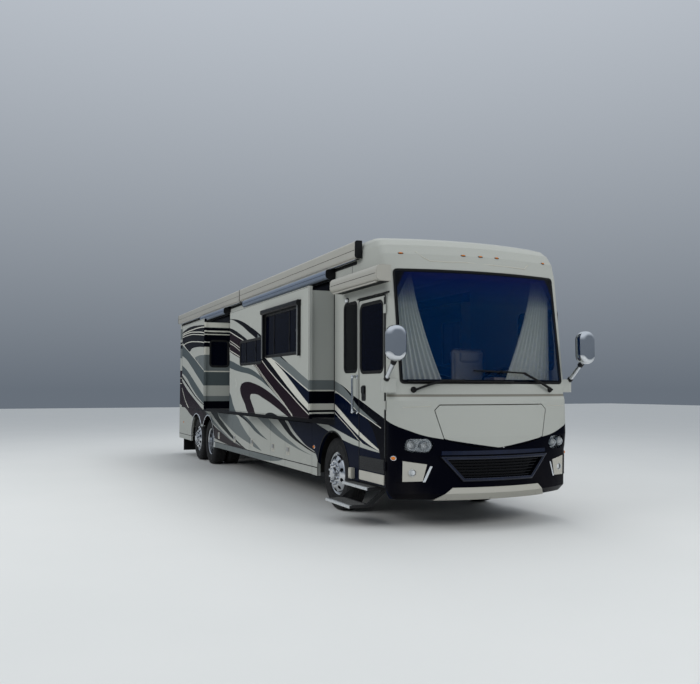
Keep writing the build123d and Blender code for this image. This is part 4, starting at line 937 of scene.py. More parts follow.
def entry_door():
    """The door's seal, hinge strip, latch, kick panel and ribbed panel, and its lining with the inner pull."""
    face = -HALF
    seal = Piece()
    section = ((-0.012, 0.002), (0.002, 0.002), (0.002, -0.004), (-0.003, -0.0055), (-0.012, -0.002))
    seal.ribbon("y", rounded(0.932, 1.738, 0.502, 2.858, 0.03), section, face)
    seal.done("entry_door_seal", "entry_door", "black_rubber")
    strip = Piece()
    strip.slab(1.702, 1.728, face - 0.006, face + 0.002, 0.86, 2.83)
    screw = [(face - 0.009, 0.0005), (face - 0.009, 0.004), (face - 0.005, 0.006), (face - 0.005, 0.0005)]
    for z in (0.95, 1.3, 1.65, 2.0, 2.35, 2.7):
        strip.lathe("y", screw, 1.715, z, 12)
    strip.done("entry_door_hinge_strip", "entry_door", "frame_steel", bevel=0.002)
    latch = Piece()
    latch.prism("y", rounded(1.02, 1.15, 1.545, 1.745, 0.03), face - 0.006, face + 0.002)
    latch.prism("y", rounded(1.035, 1.135, 1.64, 1.73, 0.02), face - 0.022, face - 0.004)
    lock = [(face - 0.01, 0.0005), (face - 0.01, 0.014), (face - 0.004, 0.017), (face - 0.004, 0.0005)]
    latch.lathe("y", lock, 1.07, 1.59, 20)
    latch.done("entry_door_latch", "entry_door", "black_plastic", bevel=0.003)
    kick = Piece()
    kick.prism("y", rounded(0.955, 1.7, 0.53, 0.65, 0.006, 2), face - 0.012, face + 0.002)
    kick.done("entry_door_kick_panel", "entry_door", "trim_paint", bevel=0.003)
    ribs = Piece()
    ribs.prism("y", rounded(0.955, 1.7, 0.665, 0.835, 0.012, 3), face - 0.005, face + 0.002)
    for k in range(5):
        z = 0.69 + 0.03 * k
        ribs.prism("y", corners(0.975, 1.68, z, z + 0.014), face - 0.009, face - 0.004)
    ribs.done("entry_door_ribbed_panel", "entry_door", "black_plastic", bevel=0.002)
    lining = Piece()
    inner = face + 0.05
    lining.prism("y", rounded(0.99, 1.68, 0.75, 1.84, 0.05), inner - 0.002, inner + 0.012)
    pull = [(1.05, inner, 1.9), (1.05, inner + 0.05, 1.87), (1.05, inner + 0.05, 1.3), (1.05, inner, 1.27)]
    lining.tube(pull, 0.012)
    lining.done("entry_door_lining", "entry_door", "cab_trim", bevel=0.004)


# Window frames

WINDOWS = (
    # body, plane, level of the outer face, way it faces, outline, corner radius, stations of the mullions
    ("coach", "y", -HALF, -1, (0.44, 0.87, 1.93, 2.85), 0.07, ()),
    ("coach", "y", HALF, 1, (0.86, 1.72, 1.95, 2.78), 0.08, (1.29,)),
    ("entry_door", "y", -HALF, -1, (0.985, 1.665, 1.91, 2.79), 0.085, ()),
    ("mid_slide", "y", -MID_FACE, -1, (-1.96, -0.3, 2.215, 2.89), 0.06, (-1.5, -0.76)),
    ("mid_slide", "y", -MID_FACE, -1, (-3.48, -2.16, 2.13, 2.54), 0.06, (-3.12, -2.52)),
    ("left_slide", "y", DEEP_FACE, 1, (-2.3, -0.9, 2.15, 2.9), 0.06, (-1.95, -1.25)),
    ("left_slide", "y", DEEP_FACE, 1, (-4.7, -3.6, 2.3, 2.8), 0.06, (-4.15,)),
    ("left_slide", "y", DEEP_FACE, 1, (-7.6, -6.5, 2.2, 2.8), 0.06, (-7.05,)),
    ("rear_slide", "x", -5.7, 1, (-1.7, -1.32, 2.16, 2.69), 0.06, ()),
)
FRAME_SECTION = (
    (0.02, 0), (0.02, 0.003), (0.014, 0.007), (-0.002, 0.007),
    (-0.022, -0.004), (-0.022, -0.01), (0, -0.01), (0, 0),
)


def window_frames():
    """A black rubber frame with a flange over the wall on every window, and the sliding panes' uprights."""
    for n, (body, along, level, way, (a0, a1, b0, b1), radius, mullions) in enumerate(WINDOWS):
        path = rounded(a0, a1, b0, b1, radius)
        ring = Piece()
        ring.ribbon(along, path, [(u, way * v) for u, v in FRAME_SECTION], level)
        for a in mullions:
            upright = corners(a - 0.014, a + 0.014, b0 + 0.005, b1 - 0.005)
            ring.prism(along, upright, level - way * 0.012, level - way * 0.001)
        ring.done(f"window_frame_{n}", body, "black_rubber", bevel=0.0015)
        if mullions:
            low = Piece()
            track = corners(a0 + 0.02, a1 - 0.02, b0 + 0.012, b0 + 0.03)
            low.prism(along, track, level - way * 0.009, level + way * 0.001)
            for a in mullions:
                pull = rounded(a - 0.006, a + 0.006, b0 + 0.2, b0 + 0.28, 0.005, 3)
                low.prism(along, pull, level - way * 0.006, level + way * 0.003)
            low.done(f"window_track_{n}", body, "black_plastic", bevel=0.002)


# Front

# the crease over the windscreen, as sides and heights in turn
BROW = (
    -0.883, 3.414, -0.8, 3.34, -0.714, 3.294, -0.5, 3.289, -0.252, 3.297,
    0.2, 3.283, 0.5, 3.277, 0.692, 3.272, 0.775, 3.34,
)
CLEARANCE_LAMPS = (-1.07, -0.25, 0, 0.25, 1.07)
# station and height of the side lamps, and the node they sit on
MARKERS = ((-0.73, 0.835, "lower_panels"), (1.87, 0.868, "front_bumper"), (-10.3, 0.845, "lower_panels"))


def front_trims():
    """The screen seal, the grille's rim, the cap's creases and the seams of the lip."""
    edge = Piece()
    outline = [(y, z) for y, z, _, _ in rounded(-1.182, 1.182, 1.768, 3.178, 0.045, 5)]
    section = ((-0.008, 0.001), (0.002, 0.004), (0.018, 0.004), (0.02, -0.004), (-0.008, -0.004))
    edge.skin(around("windscreen_and_cab_windows", outline, 0.01, section), closed=True)
    edge.done("windscreen_seal", "coach", "black_rubber", sharp=50)
    rim = Piece()
    outline = ((-0.775, 0.895), (0.775, 0.895), (0.495, 0.59), (-0.495, 0.59))
    section = ((-0.017, 0.001), (-0.012, 0.006), (0.013, 0.006), (0.019, 0.001), (0, -0.004))
    rim.skin(around("grille_and_lamp_housings", outline, 0.024, section), closed=True)
    for k in range(12):
        y0, y1 = -0.745 + 1.49 * k / 12, -0.745 + 1.49 * (k + 1) / 12
        rim.skin(over_front("front_bumper", corners(y0, y1, 0.91, 0.957), 0.012, 0.002))
    rim.done("grille_rim", "coach", "gloss_navy", sharp=50)
    creases = Piece()
    creases.tube([on_front("front_cap", y, z)[0] for y, z in pairs(BROW)], 0.006, 10)
    for side in (-1, 1):
        line = [(side * (0.845 + 0.33 * k / 6), 1.491 - 0.002 * k) for k in range(7)]
        creases.tube([on_front("front_mask", y, z)[0] for y, z in line], 0.004, 8)
    creases.done("front_creases", "coach", "trim_paint")
    seams = Piece()
    for y in (-0.656, -0.098, 0.636):
        seams.skin(over_front("lower_panels", corners(y - 0.003, y + 0.003, 0.375, 0.47), 0.002, 0.002))
    seams.done("lip_seams", "coach", "black_rubber")


def front_lamps():
    """Clearance lamps, side markers, and the glass, bright rings and strips of the head and fog lamps."""
    lamps, bases = Piece(), Piece()
    for y in CLEARANCE_LAMPS:
        point, normal = on_front("front_cap", y, 3.385)
        bases.dome(point, normal, 0.075, 0.028, 0.007)
        lamps.dome(point + normal * 0.003, normal, 0.055, 0.018, 0.012)
    bases.done("clearance_lamp_bases", "coach", "black_plastic")
    lamps.done("clearance_lamps", "coach", "amber_lens")
    markers, bases = Piece(), Piece()
    for side in (-1, 1):
        for x, z, node in MARKERS:
            point, normal = meet(node, (x, side * 3, z), (0, -side, 0))
            bases.dome(point, normal, 0.085, 0.06, 0.006)
            markers.dome(point + normal * 0.003, normal, 0.066, 0.044, 0.014)
    bases.done("side_marker_bases", "coach", "chrome_trim")
    markers.done("side_markers", "coach", "amber_lens")
    glass, rings = Piece(), Piece()
    for side in (-1, 1):
        for y, z, radius in ((1.085, 1.024, 0.058), (0.935, 1.016, 0.052)):
            point, _ = on_front("lamp_lenses", side * y, z)
            glass.dome(point - Vector((0.021, 0, 0)), (1, 0, 0), 2 * radius - 0.044, 2 * radius - 0.044, 0.012)
            ring = ((-0.03, -0.022), (-0.012, -0.016), (-0.01, -0.009), (-0.03, -0.009))
            rings.lathe("x", [(point.x + a, radius + r) for a, r in ring], side * y, z, 40)
        y, z, radius = 1.062, 0.7, 0.038
        point, normal = on_front("lamp_lenses", side * y, z)
        glass.dome(point - normal * 0.002, normal, 0.066, 0.066, 0.006)
        ring = ((-0.008, -0.003), (0.007, -0.002), (0.01, 0.004), (-0.008, 0.01))
        rings.lathe("x", [(point.x + a, radius + r) for a, r in ring], side * y, z, 36)
    glass.done("lamp_glass", "coach", "clear_lens")
    rings.done("lamp_rings", "coach", "bright_alloy")
    strips = Piece()
    for side in (-1, 1):
        outline = [(side * y, z) for y, z in ((0.848, 0.778), (0.876, 0.778), (0.955, 0.59), (0.924, 0.59))]
        strips.skin(over_front("front_bumper", outline, 0.008, 0.002))
    strips.done("fog_lamp_strips", "coach", "chrome_trim", bevel=0.002)


MIRROR_PANES = ((-0.088, 0.088, -0.055, 0.172, 0.065), (-0.088, 0.088, -0.172, -0.07, 0.045))


def mirror_glass():
    """The two panes in the back of each mirror head, their dark surround, and the collars of the arms."""
    glass, surround = Piece(), Piece()
    for side in (-1, 1):
        spin = Matrix.Rotation(math.radians(6 * side), 3, "Z")
        centre = Vector((2.192, side * 1.375, 2.235))
        for piece, outlines, front, rear in (
            (surround, ((-0.1, 0.1, -0.188, 0.188, 0.088),), 0.058, 0.079),
            (glass, MIRROR_PANES, 0.078, 0.083),
        ):
            for y0, y1, z0, z1, radius in outlines:
                outline = rounded(y0, y1, z0, z1, radius)
                piece.skin([
                    [centre + spin @ Vector((-back, a, b)) for a, b, _, _ in outline] for back in (front, rear)
                ])
    surround.done("mirror_surrounds", "coach", "black_plastic", bevel=0.002)
    glass.done("mirror_glass", "coach", "mirror")
    knuckles = Piece()
    for side in (-1, 1):
        knuckles.tube([(2.09, side * 1.362, 2.0), (2.13, side * 1.364, 2.038)], 0.036, 20)
        knuckles.tube([(1.885, side * 1.352, 1.812), (1.915, side * 1.353, 1.84)], 0.036, 20)
    knuckles.done("mirror_arm_collars", "coach", "black_plastic", bevel=0.004)


def wipers():
    """Two unlike wipers, one long and bent and one low along the foot of the glass."""

    def over_glass(y, z, lift):
        node = "windscreen_and_cab_windows" if z > 1.775 else "front_cap"
        return on_front(node, y, z)[0] + Vector((lift, 0, 0))

    arms, rubbers = Piece(), Piece()
    for points, blade in (
        (((0.94, 1.69), (0.7, 1.8), (0.475, 1.897), (0.12, 1.915)), (0.5, 1.9, -0.26, 1.925)),
        (((-1.03, 1.69), (-0.85, 1.755), (-0.67, 1.806), (-0.42, 1.8)), (-1.1, 1.79, 0.3, 1.79)),
    ):
        y, z = points[0]
        foot, normal = on_front("front_cap", y, z)
        arms.dome(foot, normal, 0.075, 0.075, 0.035)
        line = [over_glass(a, b, 0.052) for a, b in points]
        arms.tube(line[:3], 0.024, 12, 0.6)
        arms.tube(line[2:], 0.016, 12, 0.7)
        y0, z0, y1, z1 = blade
        run = [(y0 + (y1 - y0) * k / 8, z0 + (z1 - z0) * k / 8) for k in range(9)]
        arms.tube([over_glass(a, b, 0.04) for a, b in run], 0.014, 10, 0.7)
        arms.tube([over_glass(*points[-1], 0.056), over_glass(*points[-1], 0.036)], 0.018, 12)
        rubbers.tube([over_glass(a, b, 0.014) for a, b in run], 0.013, 10, 0.5)
    arms.done("wiper_arms", "coach", "black_rubber", stands_for=["wipers_and_mud_flaps"])
    rubbers.done("wiper_rubbers", "coach", "black_rubber")


def mud_flaps():
    """Ribbed flaps behind the tag wheels and across the tail, with their rails."""
    flaps = Piece()
    for side in (-1, 1):
        for x, y0, y1, z0, z1 in ((-9.455, 0.88, 1.21, 0.23, 0.72), (-10.62, 0.3, 1.22, 0.1, 0.44)):
            flaps.slab(x, x + 0.01, side * y0, side * y1, z0, z1)
            for k in range(1, 12):
                y = side * (y0 + (y1 - y0) * k / 12)
                flaps.slab(x + 0.008, x + 0.014, y - 0.008, y + 0.008, z0 + 0.03, z1 - 0.06)
            flaps.slab(x - 0.012, x + 0.02, side * y0, side * y1, z1 - 0.035, z1)
        flaps.slab(-9.47, -9.42, side * 0.46, side * 1.2, 0.7, 0.75)
    flaps.done("mud_flaps", "coach", "black_rubber", bevel=0.002)


# Awnings

# rear and front end, foot and top, depth and side
CASES = (
    (-10.65, -4.63, 3.405, 3.64, 0.105, -1), (-4.6, 1.04, 3.405, 3.64, 0.105, -1),
    (0.42, 1.9, 3.0, 3.2, 0.205, -1), (-4.23, 0.11, 3.25, 3.385, 0.15, -1),
    (-7.87, -5.66, 3.25, 3.385, 0.15, -1), (-8.94, -0.36, 3.25, 3.385, 0.15, 1),
)


def awnings():
    """End plates, a black sheet under every case that is the slot the fabric leaves by and painted shade under the
    case, and the seam along the nose of every case.
    """
    for n, (rear, front, bottom, top, depth, side) in enumerate(CASES):
        r = min(depth, top - bottom) * 0.35
        nose = [(0, bottom), (depth - r, bottom)]
        for k in range(9):
            turn = math.radians(-90 + 180 * k / 8)
            middle = bottom + r if k < 4.5 else top - r
            nose.append((depth - r + r * math.cos(turn), middle + r * math.sin(turn)))
        nose += [(0, top)]
        ends = Piece()
        for x0, x1 in ((rear - 0.012, rear + 0.004), (front - 0.004, front + 0.012)):
            ends.prism("x", [(side * (HALF + d + 0.004), z) for d, z in nose], x0, x1)
        ends.done(f"awning_ends_{n}", "coach", "awning_case" if n == 2 else "black_plastic", bevel=0.003)
        # painted shade: the black sheet over the case's underside is the fabric's slot and stands for the shade
        # under the case
        slot = Piece()
        outer = side * (HALF + depth)
        x0, x1 = rear + 0.02, front - 0.02
        slot.slab(x0, x1, side * (HALF + 0.02), outer - side * r, bottom - 0.005, bottom + 0.002)
        seam = bottom + 0.45 * (top - bottom)
        slot.slab(x0, x1, outer - side * 0.004, outer + side * 0.0015, seam, seam + 0.007)
        slot.done(f"awning_slot_and_shade_{n}", "coach", "black_rubber", bevel=0.0015)
        if top - bottom > 0.15:
            lead = Piece()
            y, z = outer - side * 0.03, bottom - 0.006
            lead.tube([(rear + 0.05, y, z), (front - 0.05, y, z)], 0.012, 12)
            lead.done(f"awning_lead_rail_{n}", "coach", "awning_case", sharp=60)
    arms = Piece()
    y = -MID_FACE - 0.053
    for x in (-1.99, -0.27):
        for z0, z1, wide in ((2.185, 2.55, 0.012), (2.53, 2.905, 0.008)):
            arms.slab(x - wide, x + wide, y - 0.004, y + 0.012, z0, z1)
        pivot = [(y - 0.01, 0.0005), (y - 0.01, 0.014), (y + 0.01, 0.014), (y + 0.01, 0.0005)]
        arms.lathe("y", pivot, x, 2.54, 16)
    arms.done("window_awning_arms", "mid_slide", "step_alloy", bevel=0.002)
    roll = Piece()
    for z in (2.91, 2.93, 2.955):
        roll.slab(-2.01, -0.25, y - 0.0235, y - 0.0205, z, z + 0.006)
    roll.done("window_awning_seams", "mid_slide", "black_rubber", bevel=0.001)


# Body trims

# body, side, rear and front end, and how far it stands out
ROOMS = (
    ("mid_slide", -1, -4.19, 0.06, 0.39), ("rear_slide", -1, -7.83, -5.7, 0.55),
    ("left_slide", 1, -8.9, -0.4, 0.55),
)
WALL_RAIL = (
    (-0.002, 3.352), (0.01, 3.352), (0.016, 3.362), (0.014, 3.378), (0.004, 3.384), (0.004, 3.398), (-0.002, 3.4)
)
DOOR_RAIL = ((-0.002, 2.868), (0.022, 2.864), (0.026, 2.874), (0.006, 2.882), (-0.002, 2.893))
# foot of the arches, and how far over the hubs a level lip joins the two rear ones
SKIRT, VALLEY = 0.42, 0.322


def body_trims():
    """Rails over walls and door, rubbers round the slide-outs, arch lips, seams, porch lamp and handle flanges."""
    rail = Piece()
    for side in (-1, 1):
        rail.prism("x", [(side * (HALF + d), z) for d, z in WALL_RAIL], -10.66, 0.87)
    rail.prism("x", [(-(HALF + d), z) for d, z in DOOR_RAIL], 0.915, 1.85)
    rail.done("drip_rails", "coach", "black_rubber", bevel=0.001)
    for body, side, rear, front, depth in ROOMS:
        seal = Piece()
        wall = side * HALF
        section = ((0.004, 0), (0.03, 0), (0.028, side * 0.003), (0.006, side * 0.003))
        seal.ribbon("y", rounded(rear, front, 1.3, 3.085, 0.012, 3), section, wall)
        seal.done(f"{body}_wall_seal", "coach", "black_rubber")
        bulb = Piece()
        back = side * (HALF + depth - 0.05)
        section = ((-0.006, 0), (0.0, 0), (0.002, -side * 0.001), (-0.008, -side * 0.001))
        bulb.ribbon("y", rounded(rear - 0.028, front + 0.028, 1.292, 3.133, 0.012, 3), section, back)
        trim = side * (HALF + depth)
        section = ((-0.016, 0), (-0.011, 0), (-0.0115, side * 0.001), (-0.0155, side * 0.001))
        bulb.ribbon("y", rounded(rear - 0.035, front + 0.035, 1.285, 3.14, 0.015, 3), section, trim)
        bulb.done(f"{body}_face_seal", body, "black_rubber")
    section = ((-0.004, 0), (0.024, 0), (0.022, 1), (0.006, 1.3), (-0.004, 1))
    for side, word in SIDES:
        lips = Piece()
        level = side * HALF
        low = -math.degrees(math.asin((HUB - SKIRT) / ARCH))
        turn = math.degrees(math.asin(VALLEY / ARCH))
        path = arc(TAG, HUB, ARCH, 180 - low, turn) + arc(DRIVE, HUB, ARCH, 180 - turn, low)
        lips.ribbon("y", path, [(u, side * 0.007 * v) for u, v in section], level, closed=False)
        lips.done(f"rear_arch_lips_{word}", "coach", "chrome_trim", sharp=40)
        lips = Piece()
        path = arc(0.02, HUB, ARCH, 180 - low, low, 40)
        lips.ribbon("y", path, [(u * 0.7, side * 0.005 * v) for u, v in section], level, closed=False)
        lips.done(f"front_arch_lip_{word}", "coach", "black_rubber", sharp=40)
    seams = Piece()
    seams.slab(0.715, 0.725, -HALF - 0.004, -HALF + 0.001, 3.21, 3.352)
    seams.slab(-9.005, -8.995, -HALF - 0.003, -HALF + 0.001, 1.26, 3.25)
    seams.done("wall_seams", "coach", "step_alloy", bevel=0.001)
    porch, base = Piece(), Piece()
    base.dome((0.54, -HALF, 2.9), (0, -1, 0), 0.12, 0.08, 0.014)
    porch.dome((0.54, -HALF - 0.01, 2.9), (0, -1, 0), 0.096, 0.058, 0.024)
    base.done("porch_lamp_base", "coach", "black_plastic")
    porch.done("porch_lamp", "coach", "clear_lens")
    balls = Piece()
    flange = ((0, 0.0005), (0, 0.032), (0.008, 0.03), (0.014, 0.0165), (0.014, 0.0005))
    for z in (1.4, 1.86):
        balls.lathe("y", [(-HALF - out, r) for out, r in flange], 0.87, z, 24)
        balls.dome((0.87, -HALF - 0.07, z), (0, -1, 0), 0.048, 0.048, 0.02)
    balls.done("grab_handle_flanges", "coach", "chrome_trim")


def steps():
    """Bright nosings and rows of grip ribs on both treads, and the switch box beside them."""
    treads, ribs = Piece(), Piece()
    for y0, y1, z in ((-1.4, -1.12, 0.475), (-1.64, -1.36, 0.268)):
        nose = ((-0.006, 0.003), (0.03, 0.003), (0.03, 0), (0, 0), (0, -0.033), (-0.006, -0.033))
        treads.prism("x", [(y0 + a, z + b) for a, b in nose], 0.642, 1.438)
        for k in range(7):
            y = y0 + 0.05 + (y1 - y0 - 0.08) * k / 7
            ribs.slab(0.67, 1.41, y, y + 0.016, z - 0.001, z + 0.004)
    treads.done("step_nosings", "entry_steps", "bright_alloy", bevel=0.0015)
    ribs.done("step_grip", "entry_steps", "grip_grey", bevel=0.0015)
    bracket = Piece()
    bracket.slab(0.69, 0.8, -HALF - 0.05, -HALF - 0.002, 0.52, 0.66)
    bracket.prism("y", rounded(0.7, 0.79, 0.53, 0.65, 0.012), -HALF - 0.056, -HALF - 0.048)
    bracket.done("step_switch_box", "coach", "trim_paint", bevel=0.004)


# Rear

def rear_details():
    """Tail lamps, the hatch's latch, a blank plate, a high brake lamp, a camera and the side grille."""
    rims, red, clear = Piece(), Piece(), Piece()
    for side in (-1, 1):
        y = side * 1.09
        section = ((-0.004, 0.004), (0.008, 0.004), (0.006, -0.004), (-0.002, -0.004))
        rims.ribbon("x", rounded(y - 0.09, y + 0.09, 1.3, 1.9, 0.05), section, REAR)
        for z in (1.41, 1.6, 1.79):
            ring = [(REAR + 0.002, 0.07), (REAR - 0.006, 0.071), (REAR - 0.006, 0.077), (REAR + 0.002, 0.079)]
            rims.lathe("x", ring, y, z, 36)
            (clear if z < 1.5 else red).dome((REAR, y, z), (-1, 0, 0), 0.138, 0.138, 0.012, 32)
    rims.done("tail_lamp_rims", "coach", "chrome_trim")
    red.done("tail_lamps", "coach", "red_lens")
    clear.done("reversing_lamps", "coach", "clear_lens")
    latch = Piece()
    latch.prism("x", rounded(-0.11, 0.11, 1.3, 1.37, 0.02), REAR - 0.005, REAR + 0.002)
    latch.prism("x", rounded(-0.09, 0.09, 1.312, 1.345, 0.012), REAR - 0.012, REAR - 0.003)
    latch.done("hatch_latch", "engine_hatch", "black_plastic", bevel=0.003)
    plate = Piece()
    plate.prism("x", rounded(-0.16, 0.16, 1.06, 1.225, 0.012), REAR - 0.004, REAR + 0.001)
    screw = [(REAR - 0.007, 0.0005), (REAR - 0.007, 0.006), (REAR - 0.003, 0.008), (REAR - 0.003, 0.0005)]
    for y in (-0.13, 0.13):
        plate.lathe("x", screw, y, 1.2, 12)
    plate.done("blank_plate", "engine_hatch", "bright_alloy", bevel=0.001)
    brake = Piece()
    brake.prism("x", rounded(-0.3, 0.3, 3.38, 3.42, 0.015), REAR - 0.012, REAR + 0.002)
    brake.done("high_brake_lamp", "coach", "red_lens", bevel=0.004)
    camera_box = Piece()
    camera_box.prism("x", rounded(-0.06, 0.06, 3.46, 3.53, 0.02), REAR - 0.01, REAR + 0.002)
    camera_box.prism("x", rounded(-0.03, 0.03, 3.475, 3.515, 0.015), REAR - 0.012, REAR - 0.008)
    camera_box.done("rear_camera", "coach", "black_plastic", bevel=0.003)
    marks = Piece()
    for y in CLEARANCE_LAMPS:
        marks.dome((REAR, y, 3.4 if abs(y) > 0.5 else 3.335), (-1, 0, 0), 0.06, 0.02, 0.012)
    marks.done("rear_clearance_lamps", "coach", "red_lens")
    louvre = Piece()
    outline = rounded(-10.6, -9.62, 0.6, 1.12, 0.03)
    louvre.ribbon("y", outline, ((0, 0), (0.02, 0), (0.018, 0.006), (0.002, 0.006)), HALF)
    louvre.prism("y", outline, HALF - 0.001, HALF + 0.001)
    for k in range(11):
        z = 0.625 + 0.045 * k
        slat = ((HALF, z), (HALF + 0.006, z - 0.012), (HALF + 0.008, z - 0.01), (HALF + 0.001, z + 0.012))
        louvre.prism("x", slat, -10.585, -9.635)
    louvre.done("radiator_louvres", "coach", "black_plastic")


# Roof

# half of the roof's line, as sides and heights, and the section of a seam
ROOF_EDGE = ((-1.265, 3.58), (-1.225, 3.63), (-1.16, 3.655), (-1.04, 3.668), (-0.5, 3.676))
ROOF_LINE = [*ROOF_EDGE, *((-y, z) for y, z in reversed(ROOF_EDGE))]
SEAM = ((-0.02, -0.003), (-0.016, 0.004), (0.016, 0.004), (0.02, -0.003))


def roof_details():
    """Intake slots and lid seams on the coolers, vent lids, and the seams across the roof."""
    dark, lids = Piece(), Piece()
    for x in (-1.2, -4.7, -8.6):
        for side in (-1, 1):
            for k in range(5):
                z = 3.72 + 0.026 * k
                dark.slab(x - 0.34, x + 0.34, side * 0.378, side * 0.3825, z, z + 0.012)
        for end in (-1, 1):
            for k in range(4):
                z = 3.72 + 0.03 * k
                dark.slab(x + end * 0.523, x + end * 0.5275, -0.22, 0.22, z, z + 0.014)
        section = ((-0.006, 0), (0.006, 0), (0.004, 0.004), (-0.004, 0.004))
        lids.ribbon("z", rounded(x - 0.4, x + 0.4, -0.27, 0.27, 0.09), section, 3.906)
        for k in range(-2, 3):
            lids.slab(x - 0.3, x + 0.3, 0.075 * k - 0.012, 0.075 * k + 0.012, 3.905, 3.911)
    for x in (-3.5, -6.6):
        section = ((-0.02, 0.02), (0.012, 0.02), (0.012, -0.03), (0.0, -0.03), (0.0, 0.0))
        lids.ribbon("z", rounded(x - 0.225, x + 0.225, -0.225, 0.225, 0.04), section, 3.74)
        lids.dome((x, 0, 3.755), (0, 0, 1), 0.4, 0.4, 0.03)
    dark.done("cooler_slots", "coach", "black_plastic", bevel=0.001)
    lids.done("cooler_and_vent_lids", "coach", "roof_plastic", sharp=40)
    seams = Piece()
    for x in (-9.6, -7.2, -5.9, -3.0, -0.1, 0.72):
        seams.skin([[Vector((x + dx, y, z + lift)) for dx, lift in SEAM] for y, z in ROOF_LINE])
    seams.done("roof_seams", "coach", "roof_plastic")


# Cab

def padded(pad):
    """Puts a padded piece of the seats on the coach's body."""
    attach(pad, "coach")


def soft_pad(name, size, centre, swell):
    """A padded form: a rounded block, filled out by cloth under pressure as far as the swell allows."""
    bm = bmesh.new()
    bmesh.ops.create_cube(bm, size=1)
    bmesh.ops.scale(bm, verts=bm.verts, vec=Vector(size) - Vector((swell, swell, swell)) * 0.9)
    bmesh.ops.bevel(bm, geom=list(bm.edges), offset=0.03, segments=3, affect="EDGES")
    mesh = as_mesh(name, bm)
    pad = add(name, mesh)
    bpy.context.view_layer.objects.active = pad
    pad.select_set(True)
    mesh.remesh_voxel_size = 0.012
    bpy.ops.object.voxel_remesh()
    start = [v.co.copy() for v in mesh.vertices]
    cloth = pad.modifiers.new("cloth", "CLOTH")
    cloth.settings.use_pressure = True
    cloth.settings.uniform_pressure_force = 4
    cloth.settings.effector_weights.gravity = 0
    for step in range(1, 21):
        bpy.context.scene.frame_set(step)
    shaped = pad.evaluated_get(bpy.context.evaluated_depsgraph_get()).to_mesh()
    swollen = [v.co.copy() for v in shaped.vertices]
    pad.modifiers.remove(cloth)
    bpy.context.scene.frame_set(1)
    for vertex, before, after in zip(mesh.vertices, start, swollen):
        step = after - before
        if step.length > swell:
            step = step.normalized() * swell
        vertex.co = before + step
    pad.select_set(False)
    grown = bmesh.new()
    grown.from_mesh(mesh)
    bmesh.ops.smooth_vert(
        grown, verts=grown.verts, factor=0.5, use_axis_x=True, use_axis_y=True, use_axis_z=True,
    )
    grown.to_mesh(mesh)
    grown.free()
    mesh.polygons.foreach_set("use_smooth", [True] * len(mesh.polygons))
    for vertex in mesh.vertices:
        vertex.co += Vector(centre) + Vector((AXLE, 0, 0))
    mesh.materials.clear()
    mesh.materials.append(LOOKS["seat_leather"])
    padded(pad)
    return pad


def copied(pad, name, shift):
    """The same pad at another place across the cab, with the shape that the cloth gave it."""
    twin = add(name, pad.data.copy())
    for vertex in twin.data.vertices:
        vertex.co.y += shift
    padded(twin)


PEDESTAL = (
    (1.191, 0.0005), (1.191, 0.19), (1.205, 0.19), (1.215, 0.15), (1.26, 0.06), (1.38, 0.06), (1.4, 0.17),
    (1.43, 0.17), (1.43, 0.0005),
)


def seats():
    """Two captain's chairs: padded cushion, back and head rest with piping, on a pedestal with arm rests."""
    middle = 0.62
    pads = (
        ("cushion", (0.51, 0.56, 0.14), (0.755, -middle, 1.51), 0.022),
        ("back", (0.13, 0.58, 0.78), (0.495, -middle, 1.9), 0.022),
        ("head_rest", (0.1, 0.4, 0.2), (0.555, -middle, 2.16), 0.02),
    )
    for name, size, centre, swell in pads:
        pad = soft_pad(f"seat_{name}_right", size, centre, swell)
        copied(pad, f"seat_{name}_left", 2 * middle)
    cord = [(0.005 * math.cos(math.pi / 3 * k), 0.005 * math.sin(math.pi / 3 * k)) for k in range(6)]
    for way, word in SIDES:
        y = way * middle
        stand = Piece()
        stand.lathe("z", PEDESTAL, 0.76, y, 40)
        stand.slab(0.56, 0.96, y - 0.2, y + 0.2, 1.425, 1.445)
        stand.slab(0.47, 0.53, y - 0.285, y + 0.285, 1.675, 1.7)
        kept = ["cab_seats"] if y < 0 else ()
        stand.done(f"seat_pedestal_{word}", "coach", "black_plastic", bevel=0.004, stands_for=kept)
        rests = Piece()
        for side in (-1, 1):
            arm = y + side * 0.292
            rests.prism("z", rounded(0.5, 0.9, arm - 0.032, arm + 0.032, 0.03), 1.665, 1.72)
        rests.done(f"seat_arm_rests_{word}", "coach", "seat_leather", bevel=0.012)
        piping = Piece()
        for z in (1.455, 1.567):
            piping.ribbon("z", rounded(0.512, 1.0, y - 0.272, y + 0.272, 0.05, 8), cord, z)
        piping.ribbon("x", rounded(y - 0.28, y + 0.28, 1.53, 2.275, 0.05, 8), cord, 0.545)
        piping.done(f"seat_piping_{word}", "coach", "seat_piping")


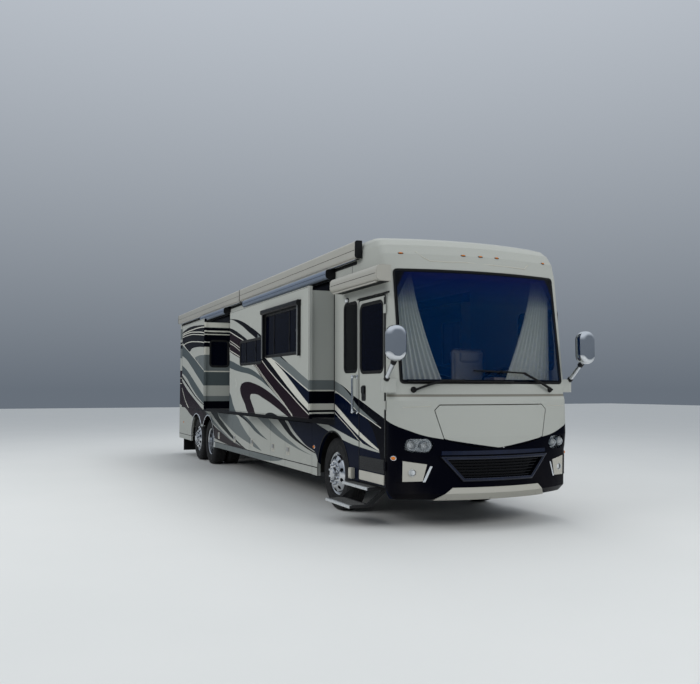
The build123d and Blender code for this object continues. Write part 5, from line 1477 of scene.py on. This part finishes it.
def curtains():
    """Gathered curtains, one behind each pillar: every row of folds takes up the same width of cloth."""
    columns, rows, folds = 180, 26, 9
    top, foot, width = 3.15, 1.82, 0.82
    rail = 1.684
    for side, word in SIDES:
        phases = [random.uniform(-0.4, 0.4) for _ in range(folds + 1)]
        depths = [random.uniform(0.75, 1.1) for _ in range(folds + 1)]
        bm = bmesh.new()
        grid = []
        for r in range(rows + 1):
            down = r / rows
            inner = 0.9 - 0.42 * down ** 1.4
            curve = []
            for c in range(columns + 1):
                s = c / columns
                k = min(folds - 1, int(s * folds))
                t = s * folds - k
                phase = phases[k] * (1 - t) + phases[k + 1] * t
                depth = depths[k] * (1 - t) + depths[k + 1] * t
                wave = depth * math.sin(2 * math.pi * s * folds + phase * (1 + down))
                curve.append((wave, inner + (1.165 - inner) * s))
            shallow, deep = 0.0, 0.05
            while deep - shallow > 0.0002:
                depth = (shallow + deep) / 2
                cloth = sum(math.hypot(depth * (a - b), p - q) for (a, p), (b, q) in zip(curve, curve[1:]))
                shallow, deep = (depth, deep) if cloth < width else (shallow, depth)
            z = top + (foot - top) * down
            grid.append([bm.verts.new((rail + AXLE + depth * wave, side * y, z)) for wave, y in curve])
        for a, b in zip(grid, grid[1:]):
            for c in range(columns):
                bm.faces.new((a[c], a[c + 1], b[c + 1], b[c]))
        mesh = as_mesh(f"curtain_{word}", bm)
        mesh.materials.append(LOOKS["curtain_cloth"])
        made = add(f"curtain_{word}", mesh)
        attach(made, "coach")
        if side < 0:
            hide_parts("curtains")
        track = Piece()
        track.slab(1.667, 1.7, side * 0.88, side * 1.19, 3.138, 3.152)
        for k in range(10):
            y = side * (0.93 + 0.026 * k)
            track.tube([(rail, y, 3.128), (rail, y, 3.14)], 0.004, 8)
        track_piece = track.done(f"curtain_track_{word}", "coach", "black_plastic")


def cab_details():
    """Instruments and a display on the dashboard, and its air vents."""
    dials, vents = Piece(), Piece()
    bezel = ((1.392, 0.0005), (1.392, 0.05), (1.378, 0.054), (1.378, 0.062), (1.4, 0.064), (1.4, 0.0005))
    for y in (0.46, 0.62, 0.78):
        dials.lathe("x", bezel, y, 1.74, 28)
    dials.prism("x", rounded(-0.2, 0.12, 1.645, 1.75, 0.02), 1.398, 1.425)
    dials.done("instruments", "coach", "black_plastic", bevel=0.001)
    for y in (-0.42, -0.3, 0.2, 1.02):
        vents.prism("x", rounded(y - 0.05, y + 0.05, 1.66, 1.72, 0.012), 1.375, 1.4)
        for k in range(4):
            vents.slab(1.37, 1.378, y - 0.042, y + 0.042, 1.668 + 0.012 * k, 1.672 + 0.012 * k)
    vents.done("dashboard_vents", "coach", "black_rubber", bevel=0.001)


wheels()
bay_latches()
entry_door()
window_frames()
front_trims()
front_lamps()
mirror_glass()
wipers()
mud_flaps()
awnings()
body_trims()
steps()
rear_details()
roof_details()
seats()
curtains()
cab_details()

camera()
studio()
